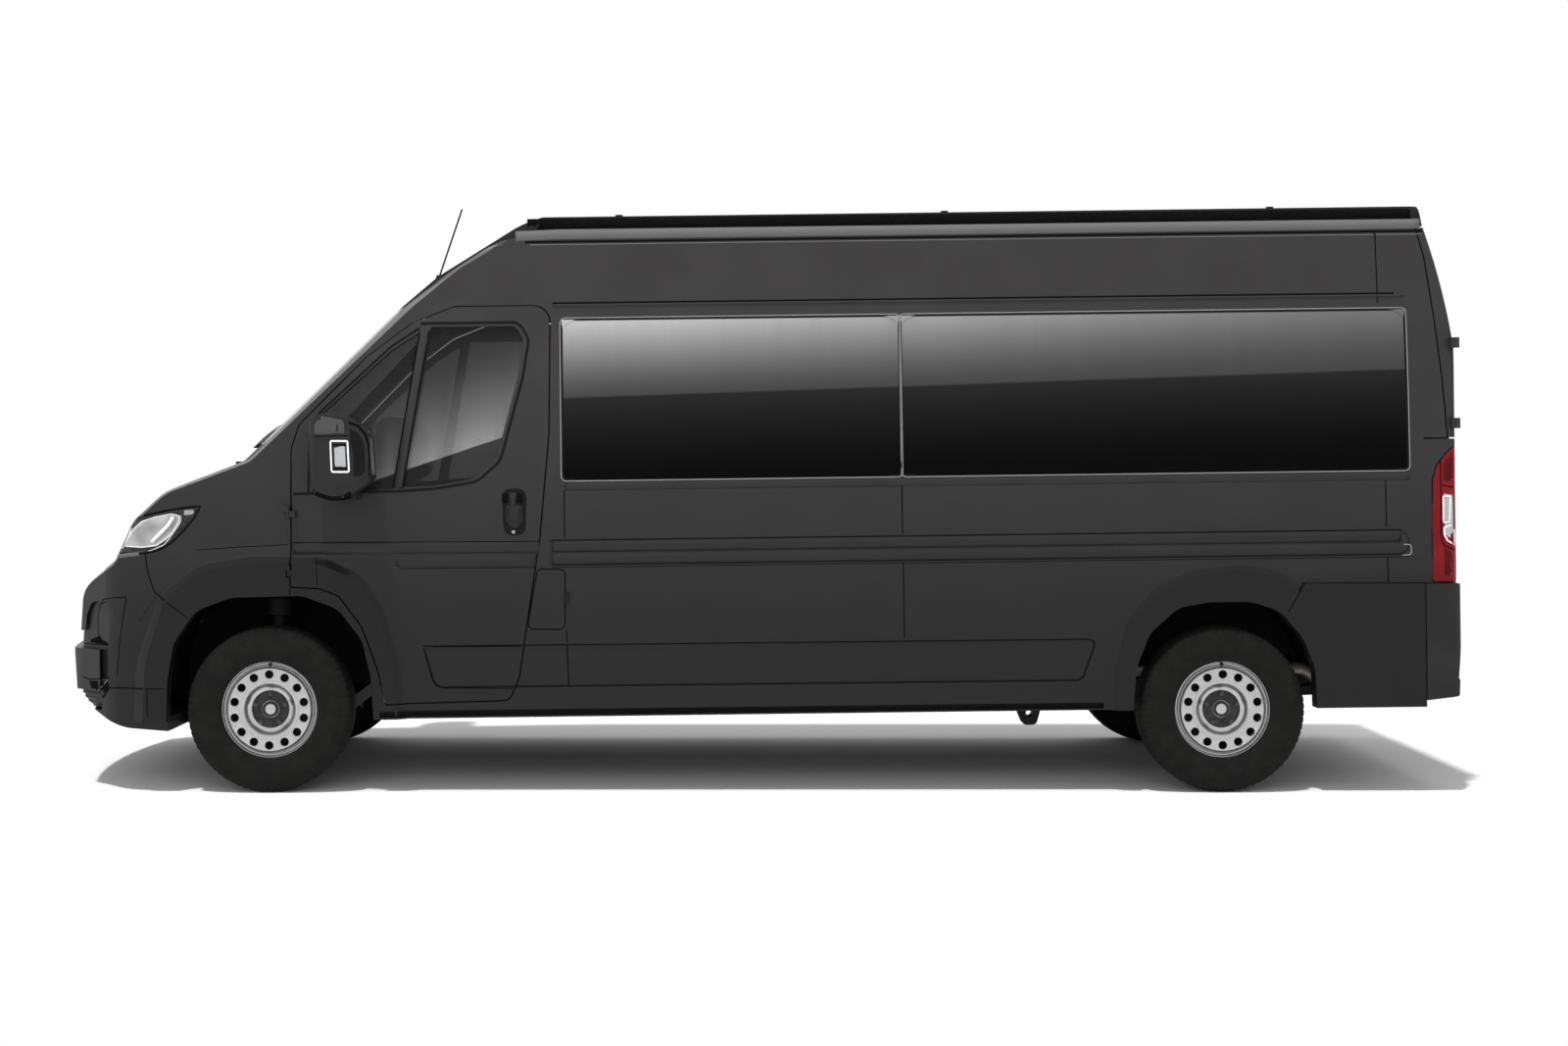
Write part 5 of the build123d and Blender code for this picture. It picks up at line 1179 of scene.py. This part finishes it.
def padShape(corners, steps, main, channels, crown, corner):
    # a rounded block between eight corners; its main face swells and carries sewn channels
    def blendCorners(p):
        spot = Vector((0, 0, 0))
        for i, (sx, sy, sz) in enumerate((x, y, z) for x in (-1, 1) for y in (-1, 1) for z in (-1, 1)):
            spot += corners[i] * ((1 + sx * p[0]) * (1 + sy * p[1]) * (1 + sz * p[2]) / 8)
        return spot

    sizes = [(corners[4] - corners[0]).length / 2, (corners[2] - corners[0]).length / 2,
             (corners[1] - corners[0]).length / 2]
    rounding = [min(0.9, corner / 1000 / size) for size in sizes]
    points, faces = [], []
    others = [axis for axis in range(3) if axis != main]
    for axis in range(3):
        a, b = [other for other in range(3) if other != axis]
        for sign in (-1, 1):
            first = len(points)
            for i in range(steps[a] + 1):
                for k in range(steps[b] + 1):
                    p = [0, 0, 0]
                    p[axis], p[a], p[b] = sign, 2 * i / steps[a] - 1, 2 * k / steps[b] - 1
                    inner = [max(-1 + rounding[n], min(1 - rounding[n], p[n])) for n in range(3)]
                    away = Vector([(p[n] - inner[n]) / rounding[n] for n in range(3)])
                    if away.length > 0:
                        away.normalize()
                    q = [inner[n] + away[n] * rounding[n] for n in range(3)]
                    x, y = q[others[0]], q[others[1]]
                    swell = crown / 1000 / sizes[main] * (1 - (1 - x ** 4) * (1 - y ** 4))
                    dent = sum(math.exp(-((q[n] - spot) / 0.045) ** 2) for n, spot in channels)
                    if q[main] > 0:
                        q[main] -= swell * q[main]
                        q[main] -= seatLook["channel"] / 1000 / sizes[main] * min(dent, 1.2) * max(0, q[main]) ** 3
                    q[others[0]] *= 1 - seatLook["pullIn"] * (1 - y * y)
                    q[others[1]] *= 1 - seatLook["pullIn"] * (1 - x * x)
                    points.append(blendCorners(q))
            net = netFaces(steps[a] + 1, steps[b] + 1, False, False)
            faces += [tuple(first + corner for corner in face) for face in net]
    edge = []
    for turn in range(72):
        angle = 2 * math.pi * turn / 72
        x, y = math.cos(angle), math.sin(angle)
        grow = 1 / max(abs(x), abs(y))
        q = [0, 0, 0]
        q[others[0]], q[others[1]] = x * grow, y * grow
        inner = [max(-1 + rounding[n], min(1 - rounding[n], q[n])) for n in range(3)]
        away = Vector([(q[n] - inner[n]) / rounding[n] if n != main else 0 for n in range(3)])
        away.normalize()
        for n in others:
            q[n] = (inner[n] + away[n] * rounding[n] * 0.93) * (1 - seatLook["pullIn"] * (1 - q[others[0]] ** 2
                                                               if n == others[1] else 1 - q[others[1]] ** 2))
        q[main] = 1 - (crown + 12) / 1000 / sizes[main]
        edge.append(blendCorners(q))
    return points, faces, edge


def seatPads():
    look = seatLook
    shapes = {"seatCushionPads": [], "seatBackPads": []}
    edges, straps, clasps = [], [], []

    def pad(group, *shape):
        points, faces, edge = padShape(*shape)
        shapes[group].append((points, faces))
        edges.append(edge)

    for u, left, right, count in look["rows"]:
        wide = (right - left) / count
        for seat in range(count):
            y0, y1 = left + wide * seat + look["gap"], left + wide * (seat + 1) - look["gap"]
            middle = left + wide * (seat + 0.5)
            box = [at(a, b, c) for a in (u + 4, u + look["length"] - 90) for b in (y0, y1)
                   for c in (look["foot"] + 1, look["foot"] + look["thick"] - 2)]
            pad("seatCushionPads", box, (24, 24, 5), 2, look["cushionChannels"], look["crown"], look["corner"])
            back, front = [[at(u + a, b, c) for a, c in zip(look[face], (look["backFoot"] + 2, look["backTop"] - 3))
                            for b in (y0, y1)] for face in ("backRear", "backFront")]
            # corners in the order up, across, then back to front
            box = [corner for pair in zip(back, front) for corner in pair]
            pad("seatBackPads", box, (28, 24, 5), 2, look["backChannels"], look["crown"], look["corner"])
            half = look["restHalf"]
            box = [at(u + look["rest"][n][0], middle + dy, look["rest"][n][1]) for n, dy in
                   ((0, -half), (2, -half), (0, half), (2, half), (1, -half), (3, -half), (1, half), (3, half))]
            pad("seatBackPads", box, (12, 16, 5), 2, look["restChannels"], look["restCrown"], look["restCorner"])
            side = y0 + look["beltInset"] if middle < 0 else y1 - look["beltInset"]
            across = y1 - look["buckleInset"] if middle < 0 else y0 + look["buckleInset"]
            straps.append([at(u + du, side + (across - side) * share, h) for du, share, h in look["belt"]])
            box = [at(u + 366 + a, across + b, 1024 + c) for a in (-12, 12) for b in (-17, 17) for c in (-20, 26)]
            clasps.append(padShape(box, (4, 5, 6), 2, [], 1, 6)[:2])
    for name, node in (("seatCushionPads", "seat_cushions"), ("seatBackPads", "seat_backs")):
        piece = weld(meshPiece(name, *gathered(shapes[name]), "seatCloth"), 0.0004, 60)
        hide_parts(node)
    cord = [(look["piping"] * math.cos(math.pi * n / 3), look["piping"] * math.sin(math.pi * n / 3)) for n in range(6)]
    piping = []
    for edge in edges:
        middle = sum(edge, Vector()) / len(edge)
        piping.append(sweepSection(edge, [(spot - middle).normalized() for spot in edge], cord, True))
    meshPiece("seatPiping", *gathered(piping), "trimGrey")
    half, thick = look["beltHalf"], look["beltThick"]
    webbing = []
    for line in straps:
        fine = [line[i].lerp(line[i + 1], k / 6) for i in range(len(line) - 1) for k in range(6)] + [line[-1]]
        section = [(half, -thick), (half, thick), (-half, thick), (-half, -thick)]
        webbing.append(sweepSection(fine, [-along] * len(fine), section))
    meshPiece("seatBelts", *gathered(webbing), "beltWeb", smooth=False)
    meshPiece("beltBuckles", *gathered(clasps), "redDeep")


def block(name, u, y, h, corner, material, crown):
    # a rounded housing between two places along each axis
    box = [at(a, b, c) for a in u for b in y for c in h]
    return weld(meshPiece(name, *padShape(box, (10, 10, 6), 2, [], crown, corner)[:2], material), 0.0004, 50)


def turned(name, spot, axis, profile, material, parts=32):
    # a profile of (radius, along) millimetres turned about an axis through a place
    axis = axis.normalized()
    first = axis.orthogonal().normalized()
    second = axis.cross(first)
    angles = [2 * math.pi * i / parts for i in range(parts)]
    points = [spot + (first * math.cos(angle) + second * math.sin(angle)) * (r / 1000) + axis * (w / 1000)
              for angle in angles for r, w in profile]
    ring = len(profile)
    faces = netFaces(parts, ring, True, False)
    faces += [tuple(i * ring + k for i in range(parts)) for k in (0, ring - 1)]
    return weld(meshPiece(name, points, faces, material), 0.0001, 40)


cabLook = {
    "screen": [(-120, 1160), (-120, 1290), (150, 1290), (150, 1160)],
    "glove": [(260, 980), (260, 1140), (780, 1140), (780, 980)],
    "ventsFrom": (-850, -170, 180, 730), "ventWidth": 120, "ventHeights": (1208, 1222, 1236, 1250),
    "controls": range(-90, 120, 40), "controlWidth": 26, "controlHeight": 1110,
    "hood": [(150, -620), (150, -250), (340, -270), (340, -600)], "lever": (330, 20, 1060),
    "leverProfile": [(20, 0), (24, 8), (12, 30), (8, 40), (8, 100), (20, 114), (25, 138), (20, 152), (8, 156)],
    "trim": [(230, 470), (230, 1225), (1060, 1225), (1060, 900), (1010, 620), (960, 470)],
    "pocket": [(330, 490), (330, 660), (880, 660), (880, 490)],
    "pull": [(560, 960), (900, 990)], "opener": [(520, 1100), (640, 1104)]}


def cabFittings():
    # dashboard, driver's controls and door trims
    look = cabLook
    face = caster("rear", ["dashboard"])
    patch("centreScreen", face, look["screen"], flush(6), "glossBlack", rings=2, radius=12)
    patch("gloveLid", face, look["glove"], flush(4), "mouldedBlack", rings=2, radius=18)
    laid("dashVents", face, [[(a, h), (a + look["ventWidth"], h)] for a in look["ventsFrom"]
                             for h in look["ventHeights"]], halfRound(7, 6), "mouldedBlack")
    laid("dashControls", face, [[(y, look["controlHeight"]), (y + look["controlWidth"], look["controlHeight"])]
                                for y in look["controls"]], halfRound(24, 7), "mouldedBlack")
    patch("instrumentHood", caster("above", ["dashboard"]), look["hood"], lambda share: 4 + 42 * share, "trimGrey",
          radius=60)
    turned("gearLever", at(*look["lever"]), upward * 0.9 + along * 0.4, look["leverProfile"], "mouldedBlack")
    for side, sign in sideNodes.items():
        door = "cab_door_" + side
        tree = searchTree([door])

        def inner(u, h, tree=tree, sign=sign):
            spot = tree.ray_cast(at(u, sign * 500, h), Vector((0, sign, 0)))[0]
            return (spot, Vector((0, -sign, 0))) if spot else None
        patch("doorTrim_" + side, inner, look["trim"], flush(7), "trimGrey", door, rings=3, radius=60)
        patch("doorPocket_" + side, inner, look["pocket"], flush(30, -7), "mouldedBlack", door, rings=2, radius=40)
        laid("doorPull_" + side, inner, [look["pull"]], halfRound(46, 34), "mouldedBlack", door)
        laid("doorOpener_" + side, inner, [look["opener"]], halfRound(24, 18), "chrome", door)


liningLook = {"outline": [(900, -700), (4780, -700), (4780, 700), (900, 700)], "lamps": (1700, 2900, 4100),
              "lampProfile": [(70, 0), (70, 14), (62, 20), (30, 24)]}


def lining():
    # headlining under the roof skin, with round lamps
    tree = searchTree(["roof"])

    def under(u, y):
        spot = tree.ray_cast(at(u, y, 1700), upward)[0]
        return (spot, -upward) if spot else None
    patch("headlining", under, liningLook["outline"], flush(6), "trimGrey", step=120, radius=60)
    for k, u in enumerate(liningLook["lamps"]):
        turned("roomLamp_%d" % k, under(u, 0)[0], -upward, liningLook["lampProfile"], "lampWhite")


# each block: reach along, across and up, corner, crown and finish
engineLook = {
    "blocks": {"batteryBox": ((-560, -360), (470, 690), (690, 880), 10, 1, "mouldedBlack"),
               "batteryLid": ((-556, -364), (474, 686), (880, 905), 8, 1, "hubDark"),
               "airBox": ((-560, -330), (-690, -460), (690, 900), 26, 1, "mouldedBlack"),
               "engineCover": ((-600, -230), (-300, 300), (1012, 1048), 16, 6, "mouldedBlack")},
    "caps": {"coolantCap": (-290, 380, 905), "washerCap": (-290, -380, 905)},
    "capProfile": [(30, -60), (30, 0), (34, 2), (34, 18), (30, 22), (10, 24)],
    "fuelCap": (1180, 800), "fuelCapSink": 0.024,
    "fuelCapProfile": [(40, -12), (40, 0), (36, 4), (14, 5), (12, 12), (6, 13)],
    "tipProfile": [(26, -60), (27, 4), (25, 5), (24, -50)]}


def engineFittings():
    # what shows under the open bonnet and behind the fuel flap
    look = engineLook
    for name, (u, y, h, corner, crown, material) in look["blocks"].items():
        block(name, u, y, h, corner, material, crown)
    for name, place in look["caps"].items():
        turned(name, at(*place), upward, look["capProfile"], "glossBlack")
    skin = sideSpot("left", *look["fuelCap"])[0]
    turned("fuelCap", skin + Vector((0, look["fuelCapSink"], 0)), Vector((0, -1, 0)), look["fuelCapProfile"],
           "mouldedBlack")
    turned("exhaustTip", tailPipe(), along, look["tipProfile"], "chrome")


def tailPipe():
    # the open end of the exhaust
    mesh = nodes["exhaust"].data
    last = max(vertex.co.x for vertex in mesh.vertices)
    ends = [vertex.co for vertex in mesh.vertices if vertex.co.x > last - 0.003]
    return sum(ends, Vector()) / len(ends)


seatPads()
cabFittings()
lining()
engineFittings()
print("seats and fittings made")

# studio
studio = {"floorSize": 60, "floorGrey": 0.69, "shadeX": 4.4, "shadeY": 3.0,
          "sunEnergy": 3.1, "sunAngle": 2.5, "sunRun": (0.13, 0.28, -1.0),
          # softboxes: place, what they face, sizes and energy
          "softboxes": {"topSoftbox": ((0, 0, 6.5), (0, 0, 0.8), 9, 5, 220),
                        "sideSoftbox": ((-1.5, -8.5, 3.0), (0, 0, 1.0), 9, 4, 260)},
          # greys that metal and glass mirror, from below the horizon to overhead
          "skyGreys": [(0.0, 0.10), (0.48, 0.05), (0.53, 0.06), (0.56, 0.20), (0.66, 0.75), (1.0, 0.6)],
          "camera": {"place": (-0.232, -11.9, 1.525), "lens": 59.2, "shift": (0.054, -0.058)}}


def shownRays(wire):
    # 1 for what the camera sees directly, in metal or through glass
    seen = wire.make("ShaderNodeLightPath")
    named = [Wire(wire.tree, seen.socket.node.outputs["Is " + kind + " Ray"])
             for kind in ("Camera", "Glossy", "Transmission")]
    return (named[0] + named[1] + named[2]).clamped()


def paleFloor():
    mesh = bpy.data.meshes.new("studioFloor")
    half = studio["floorSize"] / 2
    mesh.from_pydata([(-half, -half, 0), (half, -half, 0), (half, half, 0), (-half, half, 0)], [], [(0, 1, 2, 3)])
    floor = bpy.data.objects.new("studioFloor", mesh)
    bpy.context.scene.collection.objects.link(floor)

    def white(wire):
        # lit and shaded near the object; further out the camera sees plain white, so no horizon shows
        soft = wire.make("ShaderNodeBsdfDiffuse", None, {"Color": rgb(*[studio["floorGrey"]] * 3)})
        glow = wire.make("ShaderNodeEmission", None, {"Color": rgb(1, 1, 1), "Strength": 1.0})
        spot = wire.make("ShaderNodeVectorMath", {"operation": "MULTIPLY"},
                         {0: place(wire), 1: (1 / studio["shadeX"], 1 / studio["shadeY"], 0)})
        reach = wire.make("ShaderNodeVectorMath", {"operation": "LENGTH"}, {0: spot}, 1)
        return wire.make("ShaderNodeMixShader", None, {0: reach.between(0.8, 1.25) * shownRays(wire), 1: soft, 2: glow})
    mesh.materials.append(finish("studioWhite", white))


paleFloor()


def areaLamp(name, position, target, sizeX, sizeY, energy):
    data = bpy.data.lights.new(name, "AREA")
    data.shape = "RECTANGLE"
    data.size = sizeX
    data.size_y = sizeY
    data.energy = energy
    lamp = bpy.data.objects.new(name, data)
    lamp.location = position
    lamp.visible_glossy = False
    lamp.rotation_euler = (Vector(target) - Vector(position)).to_track_quat("-Z", "Y").to_euler()
    bpy.context.scene.collection.objects.link(lamp)


for name, lampLook in studio["softboxes"].items():
    areaLamp(name, *lampLook)
# a hard overhead light, leaning a little from the viewer's side, draws the edge of the ground shadow
sunData = bpy.data.lights.new("overheadLight", "SUN")
sunData.energy = studio["sunEnergy"]
sunData.angle = math.radians(studio["sunAngle"])
sun = bpy.data.objects.new("overheadLight", sunData)
sun.visible_glossy = False
sun.rotation_euler = Vector(studio["sunRun"]).to_track_quat("-Z", "Y").to_euler()
bpy.context.scene.collection.objects.link(sun)

world = bpy.data.worlds.new("studioWorld")
bpy.context.scene.world = world
world.use_nodes = True
world.node_tree.nodes.clear()
sky = Wire(world.node_tree)
rise = sky.make("ShaderNodeSeparateXYZ", None, {0: sky.make("ShaderNodeTexCoord", output=0)}, 2)
glow = sky.make("ShaderNodeValToRGB", {"stops": [(spot, (grey,) * 3) for spot, grey in studio["skyGreys"]]},
                {"Fac": rise * 0.5 + 0.5})
backing = sky.make("ShaderNodeBackground", None, {"Color": shownRays(sky).blend(glow, rgb(1, 1, 1)), "Strength": 1.0})
worldOut = world.node_tree.nodes.new("ShaderNodeOutputWorld")
world.node_tree.links.new(backing.socket, worldOut.inputs["Surface"])

cameraData = bpy.data.cameras.new("sideCamera")
cameraData.sensor_width = 36
cameraData.lens = studio["camera"]["lens"]
cameraData.shift_x, cameraData.shift_y = studio["camera"]["shift"]
camera = bpy.data.objects.new("sideCamera", cameraData)
camera.location = studio["camera"]["place"]
camera.rotation_euler = (math.radians(90), 0, 0)
bpy.context.scene.collection.objects.link(camera)
bpy.context.scene.camera = camera
bpy.context.scene.view_settings.view_transform = "Standard"
